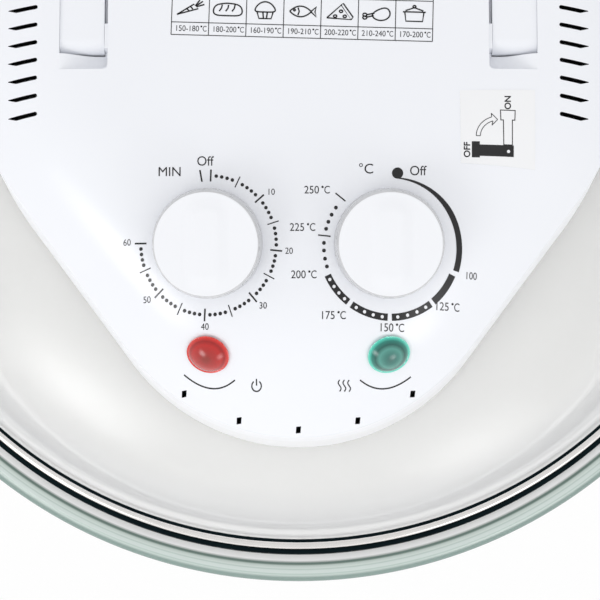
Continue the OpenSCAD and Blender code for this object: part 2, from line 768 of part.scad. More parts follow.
module lamp_guard() {
    rings = [guard_r, guard_r * 0.7, guard_r * 0.4];
    color("silver") {
        for (r = rings) translate([0, 0, guard_z]) rotate_extrude() translate([r, 0]) circle(r = wire_r);
        for (a = [0:45:315]) rotate([0, 0, a]) translate([guard_r * 0.4 - 1, 0, guard_z + wire_r])
            rotate([0, 90, 0]) cylinder(r = wire_r - 0.15, h = guard_r * 0.6 + 2);
        for (a = [22.5:90:292.5]) rotate([0, 0, a]) translate([guard_r + 0.3, 0, guard_z - 0.3])
            cylinder(r = wire_r - 0.1, h = pan_z - guard_z + 0.3 - fit / 3);
    }
}

module sensor_bulb() {
    y = (lamp_ring_r + lamp_r + guard_r) / 2;
    z = pan_z - 4;
    color("peru") {
        translate([-22, -y, z]) rotate([0, 90, 0]) cylinder(r = 2.2, h = 44);
        translate([0, -y, z]) cylinder(r = 1, h = pan_z - z - fit / 3);
    }
}

// ---- motor and fans ----
module motor_posts_at() {
    for (s = [-1, 1]) translate([s * (motor_w / 2 - 4), 0, 0]) children();
}

module motor_stator() {
    color("slategray") translate([0, 0, stack_z]) difference() {
        translate([-motor_w / 2, -22, 0]) cube([motor_w, 22 + limb_y1, stack_h]);
        translate([0, 0, -1]) cylinder(r = rotor_r + 0.4, h = stack_h + 2);
        translate([-motor_w / 2 + 10, 20, -1]) cube([motor_w - 20, limb_y0 - 20, stack_h + 2]);
    }
}

module motor_coil() {
    color("chocolate") difference() {
        translate([-17, limb_y0 - 7, stack_z - 6]) cube([34, limb_y1 - limb_y0 + 14, stack_h + 12]);
        translate([-20, limb_y0 - fit, stack_z - fit]) cube([40, limb_y1 - limb_y0 + 2 * fit, stack_h + 2 * fit]);
    }
}

module motor_brackets() {
    module bridge() {
        difference() {
            union() {
                translate([-motor_w / 2, -7, 0]) cube([motor_w, 14, bracket_t]);
                translate([0, 0, 0]) cylinder(r = 6.5, h = 6);
                motor_posts_at() translate([-4, -7, 0]) cube([8, 14, bracket_t + pad_h]);
            }
            translate([0, 0, -1]) cylinder(r = shaft_r + run, h = 10);
        }
    }
    color("gainsboro") {
        translate([0, 0, bracket_z]) bridge();
        translate([0, 0, bearing_z]) mirror([0, 0, 1]) bridge();
    }
}

module motor_rotor() {
    color("gray") ring(shaft_r + fit / 3, rotor_r, stack_z + 1, stack_top - 1);
}

module rotor_shaft() {
    z0 = fan_top - vane_h;
    color("silver") translate([0, 0, z0]) cylinder(r = shaft_r, h = cool_fan_z + cool_fan_h + 1 - z0);
}

module cooling_fan() {
    blades = 7;
    color("dimgray") difference() {
        translate([0, 0, cool_fan_z]) {
            cylinder(r = cool_hub_r, h = cool_fan_h);
            for (i = [0:blades - 1]) rotate([0, 0, i * 360 / blades]) intersection() {
                cylinder(r = cool_fan_r, h = cool_fan_h);
                translate([cool_hub_r - 2, 0, cool_fan_h / 2]) rotate([28, 0, 0])
                    translate([0, -blade_w / 2, -blade_t / 2]) cube([cool_fan_r, blade_w, blade_t]);
            }
        }
        translate([0, 0, cool_fan_z - 1]) cylinder(r = shaft_r + fit / 3, h = cool_fan_h + 3);
    }
}

module convection_fan() {
    blades = 8;
    color("silver") difference() {
        translate([0, 0, fan_top - 1.2]) {
            cylinder(r = hot_fan_r, h = 1.2);
            translate([0, 0, -vane_h]) cylinder(r = 7, h = vane_h);
            for (i = [0:blades - 1]) rotate([0, 0, i * 360 / blades])
                translate([6, -0.6, -vane_h]) cube([hot_fan_r - 8, 1.2, vane_h + 0.5]);
        }
        translate([0, 0, fan_top - vane_h - 2]) cylinder(r = shaft_r + fit / 3, h = vane_h + 4);
    }
}

// ---- controls ----
// the threaded bush of a control, with its case as child hanging under it
module control(side, h) {
    knob_place(side) difference() {
        union() {
            translate([0, 0, -box_drop - h]) children();
            translate([0, 0, -box_drop - 1]) cylinder(r = bush_r, h = box_drop + 1);
        }
        translate([0, 0, -box_drop - h + 4]) cylinder(r = shaft_r + run, h = h + 20);
    }
}

module control_shaft(side, h) {
    knob_place(side) translate([0, 0, -box_drop - h + 5]) cylinder(r = shaft_r, h = box_drop + h + 5);
}

module knob(side) {
    lift = 0.8;
    deck = knob_h - knob_bar_h;
    face_r = knob_top_r + (knob_r - knob_top_r) * knob_bar_h / knob_h;
    bar_r = face_r - 0.3;
    knob_place(side) difference() {
        union() {
            translate([0, 0, lift]) cylinder(r1 = knob_r, r2 = face_r, h = deck);
            intersection() {
                translate([0, 0, lift + deck - 1]) cylinder(r1 = bar_r, r2 = bar_r - 1, h = knob_bar_h + 1);
                translate([-knob_bar_w / 2, -knob_r, 0]) cube([knob_bar_w, 2 * knob_r, 40]);
            }
        }
        translate([0, 0, -1]) cylinder(r = bush_r + 1.2, h = 3.5);
        translate([0, 0, -1]) cylinder(r = shaft_r + fit / 3, h = 11.4);
    }
}

module timer_body() {
    color("ivory") control(-1, timer_h) {
        cylinder(r = timer_r, h = timer_h);
    }
}
module timer_shaft() { color("silver") control_shaft(-1, timer_h); }
module knob_time() { color("whitesmoke") knob(-1); }

module thermostat_body() {
    color("burlywood") control(1, thermo_h) {
        translate([-thermo_w / 2, -thermo_w / 2, 0]) cube([thermo_w, thermo_w, thermo_h]);
    }
}
module thermostat_shaft() { color("silver") control_shaft(1, thermo_h); }
module knob_temp() { color("whitesmoke") knob(1); }

module lens(side) {
    ball = (pow(light_r, 2) + pow(light_h, 2)) / (2 * light_h);
    light_place(side) {
        intersection() {
            translate([0, 0, light_h - ball]) sphere(r = ball);
            translate([0, 0, 0.4]) cylinder(r = light_r, h = light_h);
        }
        translate([0, 0, -cover_t - 2]) cylinder(r = light_r - 1, h = cover_t + 2.6);
    }
}

module lens_power() { color("red", 0.85) lens(-1); }
module lens_heat() { color("mediumturquoise", 0.85) lens(1); }

module neon_lamps() {
    color("ivory") for (s = [-1, 1]) light_place(s)
        translate([0, 0, -cover_t - 2 - neon_h]) cylinder(r = neon_r, h = neon_h - fit / 3);
}

module terminal_block() {
    color("ivory") translate([-term[0] / 2, term_y, floor_z1 + fit / 3]) difference() {
        cube(term);
        for (k = [1, 3, 5]) translate([k * term[0] / 6, term[1] / 2, 5]) cylinder(r = 2, h = term[2]);
    }
}

module thermal_fuse() {
    color("silver") translate([fuse_at[0], fuse_at[1], floor_z1 + fuse_r + 0.1]) rotate([0, 90, 0])
        cylinder(r = fuse_r, h = fuse_l);
}

module gland_place() {
    translate([head_r * cos(gland_a), head_back + head_r * sin(gland_a), gland_z])
        rotate([0, 90, gland_a]) children();
}

module cord_gland() {
    color("whitesmoke") gland_place() difference() {
        union() {
            translate([0, 0, -gland_in]) cylinder(r = gland_r, h = gland_in + gland_out);
            translate([0, 0, 0.4]) cylinder(r = gland_r + 2, h = 3);
        }
        translate([0, 0, -gland_in - 1]) cylinder(r = gland_bore, h = gland_in + gland_out + 2);
    }
}

translate([0, axis_y, 0]) {
    base_stand();
    stand_deck();
    stand_posts();
    stand_tail();
    tail_screws();
    side_grips();
    base_feet();
    hinge_tower();
    tower_screws();
    hinge_pin();
    glass_bowl();
    lid_glass();
    lid_band();
    lid_seal();
    lid_hinge_arm();
    arm_screws();
    glass_gasket();
    head_base();
    head_cover();
    cover_screws();
    handle();
    handle_pins();
    safety_switch();
    switch_plunger();
    reflector_pan();
    heat_shield();
    halogen_ring();
    lamp_caps();
    lamp_clips();
    lamp_guard();
    sensor_bulb();
    motor_stator();
    motor_coil();
    motor_brackets();
    motor_rotor();
    rotor_shaft();
    cooling_fan();
    convection_fan();
    timer_body();
    timer_shaft();
    knob_time();
    thermostat_body();
    thermostat_shaft();
    knob_temp();
    lens_power();
    lens_heat();
    neon_lamps();
    terminal_block();
    thermal_fuse();
    cord_gland();
}
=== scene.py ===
import math

import bmesh
import bpy
import numpy as np
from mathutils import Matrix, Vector


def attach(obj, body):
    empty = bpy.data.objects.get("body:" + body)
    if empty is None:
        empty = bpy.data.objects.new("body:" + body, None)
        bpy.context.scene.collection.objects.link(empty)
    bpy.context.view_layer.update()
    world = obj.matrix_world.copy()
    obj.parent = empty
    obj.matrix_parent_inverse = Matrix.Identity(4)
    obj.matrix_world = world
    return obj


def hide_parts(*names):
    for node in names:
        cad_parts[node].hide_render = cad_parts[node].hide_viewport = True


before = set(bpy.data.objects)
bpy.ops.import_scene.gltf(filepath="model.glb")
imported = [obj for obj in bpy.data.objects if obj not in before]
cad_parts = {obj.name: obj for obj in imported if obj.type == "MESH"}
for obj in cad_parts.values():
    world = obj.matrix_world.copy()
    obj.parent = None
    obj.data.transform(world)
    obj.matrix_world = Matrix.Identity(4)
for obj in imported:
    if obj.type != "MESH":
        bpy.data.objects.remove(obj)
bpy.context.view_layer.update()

# ---- camera ----
# The photo is taken from just in front of the head and nearly straight above it, from
# about a metre, with a long lens.
lens = bpy.data.cameras.new("camera")
lens.sensor_width = 36
lens.lens = 173.158
lens.shift_x = 0.002667
camera = bpy.data.objects.new("camera", lens)
camera.location = (0, -0.2427346, 1.1876883)
camera.rotation_euler = (math.radians(9), 0, 0)
bpy.context.scene.collection.objects.link(camera)
bpy.context.scene.camera = camera
bpy.context.scene.view_settings.view_transform = "Standard"


# ---- table, soft boxes and room ----
# A white table in a pale room, with a large soft box at the front left and another at the
# front right. The table shows white to the camera but keeps the oven's shadow.
HEAD_MIDDLE = Vector((0, -0.1, 0.28))
BOX_DISTANCE = 1.2  # from there to each soft box


def nodes_of(material):
    """The node tree of a material or world, emptied."""
    material.use_nodes = True
    material.node_tree.nodes.clear()
    return material.node_tree


def add(tree, kind, **values):
    """A new node of that kind with its input sockets set by name."""
    node = tree.nodes.new(kind)
    for key, value in values.items():
        node.inputs[key.replace("_", " ")].default_value = value
    return node


def feed(tree, node, *values):
    """Links outputs to, or writes numbers on, a node's first inputs; gives its output."""
    for socket, value in zip(node.inputs, values):
        if isinstance(value, bpy.types.NodeSocket):
            tree.links.new(value, socket)
        else:
            socket.default_value = value
    return node.outputs[0]


def maths(tree, operation, *values):
    """The output of a new Math node on those outputs or numbers."""
    node = add(tree, "ShaderNodeMath")
    node.operation = operation
    return feed(tree, node, *values)


def ramped(tree, fac, stops):
    """A colour ramp over fac through stops of (place, colour), which are in order."""
    ramp = add(tree, "ShaderNodeValToRGB")
    elements = ramp.color_ramp.elements
    for k, (at, colour) in enumerate(stops):
        stop = elements[k] if k < 2 else elements.new(at)
        stop.position = at
        stop.color = (*colour, 1)
    return feed(tree, ramp, fac)


def surface(tree, shader, kind="ShaderNodeOutputMaterial"):
    """Ends a tree in that shader."""
    tree.links.new(shader, add(tree, kind).inputs["Surface"])


def seen_directly(tree):
    """1 for camera, glossy and transmission rays and 0 for the light that falls on things,
    then the glossy rays alone."""
    path = add(tree, "ShaderNodeLightPath").outputs
    straight = maths(tree, "MAXIMUM", path["Is Camera Ray"], path["Is Transmission Ray"])
    return maths(tree, "MAXIMUM", straight, path["Is Glossy Ray"]), path["Is Glossy Ray"]


def sheet(name, wide, high):
    """A flat sheet in the scene, that reaches wide and high to each side of its middle."""
    mesh = bpy.data.meshes.new(name)
    corners = [(-wide, -high, 0), (wide, -high, 0), (wide, high, 0), (-wide, high, 0)]
    mesh.from_pydata(corners, [], [(0, 1, 2, 3)])
    obj = bpy.data.objects.new(name, mesh)
    bpy.context.scene.collection.objects.link(obj)
    return obj


room = bpy.data.worlds.new("room")
bpy.context.scene.world = room
tree = nodes_of(room)
seen, glossy = seen_directly(tree)
axes = add(tree, "ShaderNodeSeparateXYZ")
feed(tree, axes, add(tree, "ShaderNodeTexCoord").outputs["Generated"])
falling, mirrored = [feed(tree, add(tree, "ShaderNodeBackground", Strength=1.0),
    ramped(tree, axes.outputs["Z"], [(0, (low, low, low)), (1, (high, high, high))]))
    for low, high in ((0.85, 0.97), (0.98, 0.74))]
white = add(tree, "ShaderNodeBackground", Color=(1, 1, 1, 1), Strength=1.0).outputs[0]
plain = feed(tree, add(tree, "ShaderNodeMixShader"), seen, falling, white)
surface(tree, feed(tree, add(tree, "ShaderNodeMixShader"), glossy, plain, mirrored),
    "ShaderNodeOutputWorld")

table = sheet("table", 4, 4)
table_top = bpy.data.materials.new("table_top")
tree = nodes_of(table_top)
share = maths(tree, "MULTIPLY", seen_directly(tree)[0], 0.95)
paint = add(tree, "ShaderNodeBsdfDiffuse", Color=(0.9, 0.9, 0.9, 1)).outputs[0]
glow = add(tree, "ShaderNodeEmission", Color=(1, 1, 1, 1), Strength=1.0).outputs[0]
surface(tree, feed(tree, add(tree, "ShaderNodeMixShader"), share, paint, glow))
table.data.materials.append(table_top)


def soft_box(name, azimuth, elevation, wide, high, radiance):
    """A glowing sheet seen from the head at that azimuth (0 = back, 90 = right) and
    elevation, whose glow fades smoothly from the middle to each side, where it is clear."""
    a, e = math.radians(azimuth), math.radians(elevation)
    way = Vector((math.sin(a) * math.cos(e), math.cos(a) * math.cos(e), math.sin(e)))
    box = sheet(name, wide / 2, high / 2)
    box.location = HEAD_MIDDLE + way * BOX_DISTANCE
    box.rotation_euler = way.to_track_quat("Z", "Y").to_euler()
    material = bpy.data.materials.new(name)
    tree = nodes_of(material)
    axes = add(tree, "ShaderNodeSeparateXYZ")
    feed(tree, axes, add(tree, "ShaderNodeTexCoord").outputs["Object"])
    fades = []
    for k, half in enumerate((wide / 2, high / 2)):
        fade = add(tree, "ShaderNodeMapRange")
        fade.interpolation_type = "SMOOTHSTEP"
        fades.append(feed(tree, fade, maths(tree, "ABSOLUTE", axes.outputs[k]), half, 0, 0, 1))
    glow = add(tree, "ShaderNodeEmission", Color=(1, 1, 1, 1))
    power = maths(tree, "MULTIPLY", maths(tree, "MULTIPLY", *fades), radiance)
    tree.links.new(power, glow.inputs["Strength"])
    clear = add(tree, "ShaderNodeBsdfTransparent").outputs[0]
    surface(tree, feed(tree, add(tree, "ShaderNodeAddShader"), glow.outputs[0], clear))
    box.data.materials.append(material)
    box.visible_camera = box.visible_transmission = False


soft_box("left_box", -134, 30, 0.90, 0.70, 4.2)
soft_box("right_box", 147, 20, 0.80, 0.76, 2.7)

# ---- glass bowl ----
# A pressed bowl of clear heat-resistant glass with a thick rolled lip. The lip is coloured by
# radius: the pale green that thick glass has, with a painted white highlight on its top and
# painted dark and light lines that stand in for the light the thick glass bends and reflects.
AXIS = np.array([0.0, -15.5, 0.0])  # the oven's axis in the shared frame, in millimetres
MERGE = 1e-7  # points closer than this, in metres, are one
LIP_Z, LIP_IN = 0.1955, 0.1545  # the lip's glass starts at this height and radius


def arc(r, z, radius, start, end, steps):
    """Points (r, z) on a circle about (r, z), from one angle to the other, in degrees."""
    a = np.radians(np.linspace(start, end, steps + 1))
    return np.stack([r + radius * np.cos(a), z + radius * np.sin(a)], -1)


def revolved(profile, steps=240):
    """A closed profile of (radius, height) points turned about the oven's axis:
    x = radius cos a, y = radius sin a, z = height, for a round the circle."""
    r, z = np.concatenate([np.atleast_2d(p) for p in profile]).T
    a = np.arange(steps) * 2 * np.pi / steps
    pts = np.stack([np.outer(np.cos(a), r), np.outer(np.sin(a), r), np.outer(np.ones(steps), z)], -1)
    return pts.reshape(-1, 3), net(steps, len(r), True, True)


def net(rows, cols, round_rows=False, round_cols=False):
    """The four-sided faces of a rows x cols grid of points, joined end to end where round."""
    i, j = np.meshgrid(np.arange(rows - (not round_rows)), np.arange(cols - (not round_cols)),
        indexing="ij")
    i2, j2 = (i + 1) % rows, (j + 1) % cols
    corners = [i * cols + j, i2 * cols + j, i2 * cols + j2, i * cols + j2]
    return np.stack(corners, -1).reshape(-1, 4).tolist()


def closed_mesh(name, pts, faces):
    """A mesh from points in millimetres about the oven's axis, its poles merged and its
    faces turned outwards by the sign of the volume they enclose."""
    mesh = bpy.data.meshes.new(name)
    mesh.from_pydata(((np.asarray(pts, float) + AXIS) / 1000).tolist(), [], faces)
    bm = bmesh.new()
    bm.from_mesh(mesh)
    bmesh.ops.remove_doubles(bm, verts=bm.verts, dist=MERGE)
    bmesh.ops.dissolve_degenerate(bm, edges=bm.edges, dist=MERGE)
    if bm.calc_volume(signed=True) < 0:
        bmesh.ops.reverse_faces(bm, faces=bm.faces)
    bm.to_mesh(mesh)
    bm.free()
    return mesh


def read(items, field, width=3, kind=float):
    """A field of a mesh's items, in rows of width numbers."""
    values = np.empty(len(items) * width, kind)
    items.foreach_get(field, values)
    return values.reshape(-1, width) if width > 1 else values


def piece(name, mesh, body, finish, nodes=(), crease=35):
    """An object for a finished mesh, that rides on a body and stands for CAD nodes; edges
    sharper than crease degrees stay sharp."""
    if crease is not None:
        mesh.polygons.foreach_set("use_smooth", np.ones(len(mesh.polygons), bool))
        mesh.set_sharp_from_angle(angle=math.radians(crease))
    kept = read(mesh.polygons, "material_index", 1, np.int32)
    mesh.materials.clear()
    for f in finish if isinstance(finish, list) else [finish]:
        mesh.materials.append(f)
    mesh.polygons.foreach_set("material_index", kept)
    obj = bpy.data.objects.new(name, mesh)
    bpy.context.scene.collection.objects.link(obj)
    if nodes:
        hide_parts(*nodes)
    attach(obj, body)


def noise(tree, size, detail=3.0, stretch=(1, 1, 1)):
    """A noise over Object coordinates whose lumps are about size millimetres wide."""
    turn = add(tree, "ShaderNodeMapping", Scale=stretch)
    where = feed(tree, turn, add(tree, "ShaderNodeTexCoord").outputs["Object"])
    lumps = add(tree, "ShaderNodeTexNoise", Scale=1000.0 / size, Detail=detail)
    return feed(tree, lumps, where)


def spread(tree, fac, low, high):
    """fac, which runs about 0.3 to 0.7, brought to the range low to high."""
    return feed(tree, add(tree, "ShaderNodeMapRange"), fac, 0.3, 0.7, low, high)


def finish(name, light, dark, patch, rough, grain, depth, stretch=(1, 1, 1), **sockets):
    """A material whose colour runs between two close tones in patches, whose roughness
    runs over rough = (low, high), and whose surface has a grain of the given size and
    depth in millimetres. The other values are set on the shader's own sockets."""
    material = bpy.data.materials.new(name)
    tree = nodes_of(material)
    shader = add(tree, "ShaderNodeBsdfPrincipled", **sockets)
    tone = ramped(tree, noise(tree, patch), [(0.3, dark), (0.7, light)])
    tree.links.new(tone, shader.inputs["Base Color"])
    fine = noise(tree, grain, 2.0, stretch)
    tree.links.new(spread(tree, fine, *rough), shader.inputs["Roughness"])
    bump = add(tree, "ShaderNodeBump", Strength=0.5, Distance=depth / 1000.0)
    tree.links.new(fine, bump.inputs["Height"])
    tree.links.new(bump.outputs[0], shader.inputs["Normal"])
    surface(tree, shader.outputs[0])
    return material


def found(tree, kind):
    """The tree's node of that kind."""
    return next(n for n in tree.nodes if n.type == kind)


def lets_light_in(material):
    """Makes a glass let the lamps' light straight through to what is behind it."""
    tree = material.node_tree
    shadow = add(tree, "ShaderNodeLightPath").outputs["Is Shadow Ray"]
    clear = add(tree, "ShaderNodeBsdfTransparent", Color=(1, 1, 1, 1)).outputs[0]
    glass = found(tree, "BSDF_PRINCIPLED").outputs[0]
    mix = feed(tree, add(tree, "ShaderNodeMixShader"), shadow, glass, clear)
    tree.links.new(mix, found(tree, "OUTPUT_MATERIAL").inputs["Surface"])
    return material


def by_distance(material, centre, stops, scale=(1, 1, 1)):
    """Colours a material by the distance from centre, a point in millimetres about the
    oven's axis; stops are (distance, colour). Scale (1, 1, 0) leaves out the height."""
    tree = material.node_tree
    low, high = stops[0][0], stops[-1][0]
    place = add(tree, "ShaderNodeMapping", Location=tuple(-(centre + AXIS) / 1000), Scale=scale)
    length = add(tree, "ShaderNodeVectorMath")
    length.operation = "LENGTH"
    feed(tree, length, feed(tree, place, add(tree, "ShaderNodeTexCoord").outputs["Object"]))
    reach = feed(tree, add(tree, "ShaderNodeMapRange"), length.outputs["Value"],
        low / 1000, high / 1000, 0, 1)
    colour = ramped(tree, reach, [((r - low) / (high - low), tone) for r, tone in stops])
    tree.links.new(colour, found(tree, "BSDF_PRINCIPLED").inputs["Base Color"])


bowl_glass = lets_light_in(finish("bowl_glass", (1, 1, 0.998), (0.994, 0.997, 0.992), 60,
    (0.0, 0.02), 25, 0.05, Transmission_Weight=1.0, IOR=1.48))
lip_glass = lets_light_in(finish("lip_glass", (0.62, 0.70, 0.66), (0.55, 0.64, 0.60), 9,
    (0.02, 0.06), 6, 0.03, Transmission_Weight=0.15, IOR=1.48))
# painted by radius: a white highlight on the lip's top, then dark and light lines of painted refraction
# and reflection over the pale green
by_distance(lip_glass, np.zeros(3), [(150, (1, 1, 1)), (161.2, (1, 1, 1)),
    (162.0, (0.15, 0.22, 0.19)), (162.5, (0.15, 0.22, 0.19)), (163.0, (0.58, 0.67, 0.63)),
    (163.9, (0.7, 0.78, 0.74)), (164.2, (0.52, 0.62, 0.58)), (164.6, (0.68, 0.76, 0.73)),
    (165.5, (0.66, 0.74, 0.71)), (165.8, (0.48, 0.58, 0.54)), (166.2, (0.6, 0.69, 0.65)),
    (166.9, (0.27, 0.36, 0.33)), (168, (0.2, 0.3, 0.27))], (1, 1, 0))

bowl = closed_mesh("glass_bowl", *revolved([
    [[0, 32.5], [114.5, 32.5], [115.5, 32.1], [117.5, 32.1]], arc(122, 60, 28, -90, 0, 16),
    [[150.6, 80], [152.5, 120], [154.8, 165], [156, 192], [156.6, 195.2], [158.2, 196]],
    arc(164, 200, 4, -90, 90, 18), [[157, 204], [153.4, 204]], arc(153, 202.6, 1.4, 90, 180, 4),
    [151, 196], arc(122, 60, 23, 0, -90, 16), [0, 37]]))
middles = read(bowl.polygons, "center") - AXIS / 1000
lip = (middles[:, 2] > LIP_Z) & (np.hypot(middles[:, 0], middles[:, 1]) > LIP_IN)
bowl.polygons.foreach_set("material_index", lip.astype(np.int32))
piece("bowl", bowl, "base", [bowl_glass, lip_glass], ["glass_bowl"])

# ---- stand ----
# A moulded white ring with a deck that cradles the bowl, two posts, a tail to the hinge
# tower, grips at the sides and rubber feet; all screwed from below.
stand_plastic = finish("stand_plastic", (0.80, 0.80, 0.795), (0.77, 0.77, 0.767), 70,
    (0.3, 0.42), 0.7, 0.04)
# the deck is lighter than the rest of the same moulding: painted light, in place of the light the head and
# glass keep off it
deck_painted_light = finish("deck_painted_light", (0.985, 0.982, 0.975), (0.97, 0.967, 0.96), 70,
    (0.4, 0.5), 0.7, 0.04, Specular_IOR_Level=0.1)
rubber = finish("rubber", (0.035, 0.035, 0.037), (0.022, 0.022, 0.024), 6, (0.7, 0.9), 0.6, 0.08)
bright_steel = finish("bright_steel", (0.62, 0.62, 0.63), (0.5, 0.5, 0.52), 3, (0.22, 0.36),
    0.25, 0.01, (1, 1, 8), Metallic=1.0)


def wear(material, *names):
    """Gives CAD nodes that material in place of their plain one."""
    for name in names:
        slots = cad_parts[name].data.materials
        slots.clear()
        slots.append(material)


wear(stand_plastic, "base_stand", "stand_posts", "stand_tail", "side_grips")
wear(deck_painted_light, "stand_deck")
wear(rubber, "base_feet")
wear(bright_steel, "tail_screws", "tower_screws", "hinge_pin", "arm_screws", "cover_screws",
    "handle_pins")
wear(stand_plastic, "hinge_tower", "lid_hinge_arm")

# ---- glass lid ----
# A blown dome of the same glass, open in the middle where the head drops in, with its
# edge in a rolled stainless band. A black silicone seal lines the band and rests on the lip.
# The dome's glass is partly a diffuse white, painted light that lightens the view through it,
# with a painted grey ring of reflection near its edge.
DOME_R, DOME_H, DOME_Z = 158, 62, 197  # half axes of the dome's skin and their centre's height
DOME_T, DOME_HOLE = 4, 88  # thickness of the glass and radius of its hole
RIM_Z = 206.8  # height of the dome's edge


def dome_radius(z, in_by=0):
    """The dome's radius at height z: an ellipse of 158 by 62 mm over z = 197, whose two
    half axes are shorter by in_by."""
    return (DOME_R - in_by) * np.sqrt(1 - ((z - DOME_Z) / (DOME_H - in_by)) ** 2)


def dome_side(in_by, steps):
    """Points of that ellipse from the hole (steps = 0) to the dome's edge (steps = 1)."""
    r = DOME_HOLE + (dome_radius(RIM_Z, in_by) - DOME_HOLE) * steps
    return np.stack([r, DOME_Z + (DOME_H - in_by) * np.sqrt(1 - (r / (DOME_R - in_by)) ** 2)], -1)


# partly diffuse white: painted light that lightens the view through the dome; the stops below paint a grey
# ring of reflection near its edge
dome_glass = lets_light_in(finish("dome_glass", (1, 1, 0.992), (0.992, 0.993, 0.984), 80,
    (0.0, 0.015), 40, 0.06, Transmission_Weight=0.56, IOR=1.48))
by_distance(dome_glass, np.zeros(3), [(88, (1, 1, 0.992)), (139, (0.995, 0.996, 0.99)),
    (145, (0.96, 0.963, 0.965)), (149.5, (0.86, 0.865, 0.872)), (151.2, (0.86, 0.865, 0.872)),
    (152, (1, 1, 1)), (158, (1, 1, 1))], (1, 1, 0))
steps = 1 - (1 - np.linspace(0, 1, 41)) ** 1.6
dome = closed_mesh("lid_dome", *revolved([dome_side(0, steps), dome_side(DOME_T, steps[::-1])]))
piece("lid_dome", dome, "lid", dome_glass, ["lid_glass"])

band_steel = finish("band_steel", (0.93, 0.905, 0.885), (0.86, 0.84, 0.82), 14, (0.12, 0.24),
    0.5, 0.012, (1, 1, 10), Metallic=1.0)
z = np.linspace(RIM_Z, 210.2, 6)
glass_r = dome_radius(z)
band = closed_mesh("rim_band", *revolved([np.stack([glass_r + 1.12, z], -1), [155.9, 210.35],
    [156.4, 210.25], arc(156.5, 208.9, 1.22, 75, 0, 8), [157.728, RIM_Z]]))
piece("rim_band", band, "lid", band_steel, ["lid_band"])

silicone = finish("silicone", (0.004, 0.010, 0.012), (0.003, 0.007, 0.009), 10, (0.35, 0.5),
    0.8, 0.03, Specular_IOR_Level=0.02)
seal_in = dome_radius(RIM_Z, DOME_T) + 3.8
lips = [np.stack([glass_r + 1.06, z + 0.1], -1), np.stack([glass_r + 0.05, z + 0.1], -1)[::-1]]
seal = closed_mesh("rim_seal", *revolved([[[seal_in, 204.8], [seal_in + 0.6, 204.2],
    [158.3, 204.2], [158.9, 204.5], [159.278, 205.1], [159.278, 208.1]],
    arc(158.578, 208.1, 0.7, 0, 90, 6), [[157.878, 208.8], [157.878, 206.75], [157.2, 206.75]],
    *lips, [seal_in, 206.9]]))
piece("rim_seal", seal, "lid", silicone, ["lid_seal"])
wear(silicone, "glass_gasket")

# ---- head shells ----
# The control head is two moulded shells of glossy white plastic. The upper one is crowned,
# falls away at its edge in one curve, and has two pockets for the handle's arms.
head_plastic = finish("head_plastic", (0.875, 0.89, 0.93), (0.862, 0.877, 0.918), 60,
    (0.10, 0.16), 9, 0.004)
base_plastic = finish("base_plastic", (0.9, 0.905, 0.92), (0.885, 0.89, 0.905), 60, (0.5, 0.6),
    4, 0.02, Specular_IOR_Level=0.15)
# a lighter, matte copy of the head's white for the cover's upright wall: painted light on the wall
skirt_painted_light = finish("skirt_painted_light", (0.93, 0.94, 0.965), (0.92, 0.93, 0.955), 60, (0.5, 0.6),
    2, 0.01, Specular_IOR_Level=0.15)
# near black for the walls of the vents and drains: painted shade for the dark inside of the head
slot_painted_shade = finish("slot_painted_shade", (0.012, 0.012, 0.013), (0.006, 0.006, 0.007), 3, (0.6, 0.8),
    0.5, 0.03, Specular_IOR_Level=0.1)
wear(base_plastic, "head_base")

SPLIT, TOP, PIVOT = 254.993, 309.993, 301.993  # heights of the joint, the crown and the pins
HEAD_R, TONGUE_R, HEAD_Y, APART = 109, 69, 10, 67  # the outline's circles and their centres
FALL, FALL_OVER, FALL_POWER = 27, 126, 3.1  # how the crown falls away to the front
EDGE_FALL, EDGE_WIDE = 18, 45  # and to its edge
WALL = 2.6
ROLL = 3.0  # radius of the rounding between the wall and the crown
EDGE_SLOPE = 1.165  # of the crown at its edge, where the rounding ends
roll_end = math.atan(1 / EDGE_SLOPE)
roll_in = ROLL * (1 - math.cos(roll_end))
ARM_X, TOE_ROOM = 67.7, 10.14  # the handle's arms, and the clearance round their toes
KNOB_X, KNOB_Y = 28.2, -69.7
LIGHT_X, LIGHT_Y = 28.3, -102.3


def inset(x, y):
    """How far a point lies inside the head's outline, which is a circle of 109 mm about
    (0, 10) and one of 69 mm about (0, -57), joined by their tangents."""
    x, y = np.abs(x), HEAD_Y - y
    b = (HEAD_R - TONGUE_R) / APART
    a = math.sqrt(1 - b * b)
    k = a * y - b * x
    return -np.where(k < 0, np.hypot(x, y) - HEAD_R,
        np.where(k > a * APART, np.hypot(x, y - APART) - TONGUE_R, x * a + y * b - HEAD_R))


def crown_at(y, d):
    """Height of the head at y, d inside its outline: its top, less 27 mm times (distance
    forward / 126) to the power 3.1, less 18 mm times the cube of (1 - d / 45)."""
    return (TOP - FALL * (np.maximum(0, -y) / FALL_OVER) ** FALL_POWER
        - EDGE_FALL * np.maximum(0, 1 - np.maximum(d, 0) / EDGE_WIDE) ** 3)


def crown(x, y):
    """Height of the head at x, y."""
    return crown_at(y, inset(x, y))


def crown_normal(x, y):
    """The crown's upward normal, from its slopes over half a millimetre each way."""
    h = 0.5
    gx = (crown(x + h, y) - crown(x - h, y)) / (2 * h)
    gy = (crown(x, y + h) - crown(x, y - h)) / (2 * h)
    n = np.stack([-gx, -gy, np.ones_like(gx)], -1)
    return n / np.linalg.norm(n, axis=-1, keepdims=True)


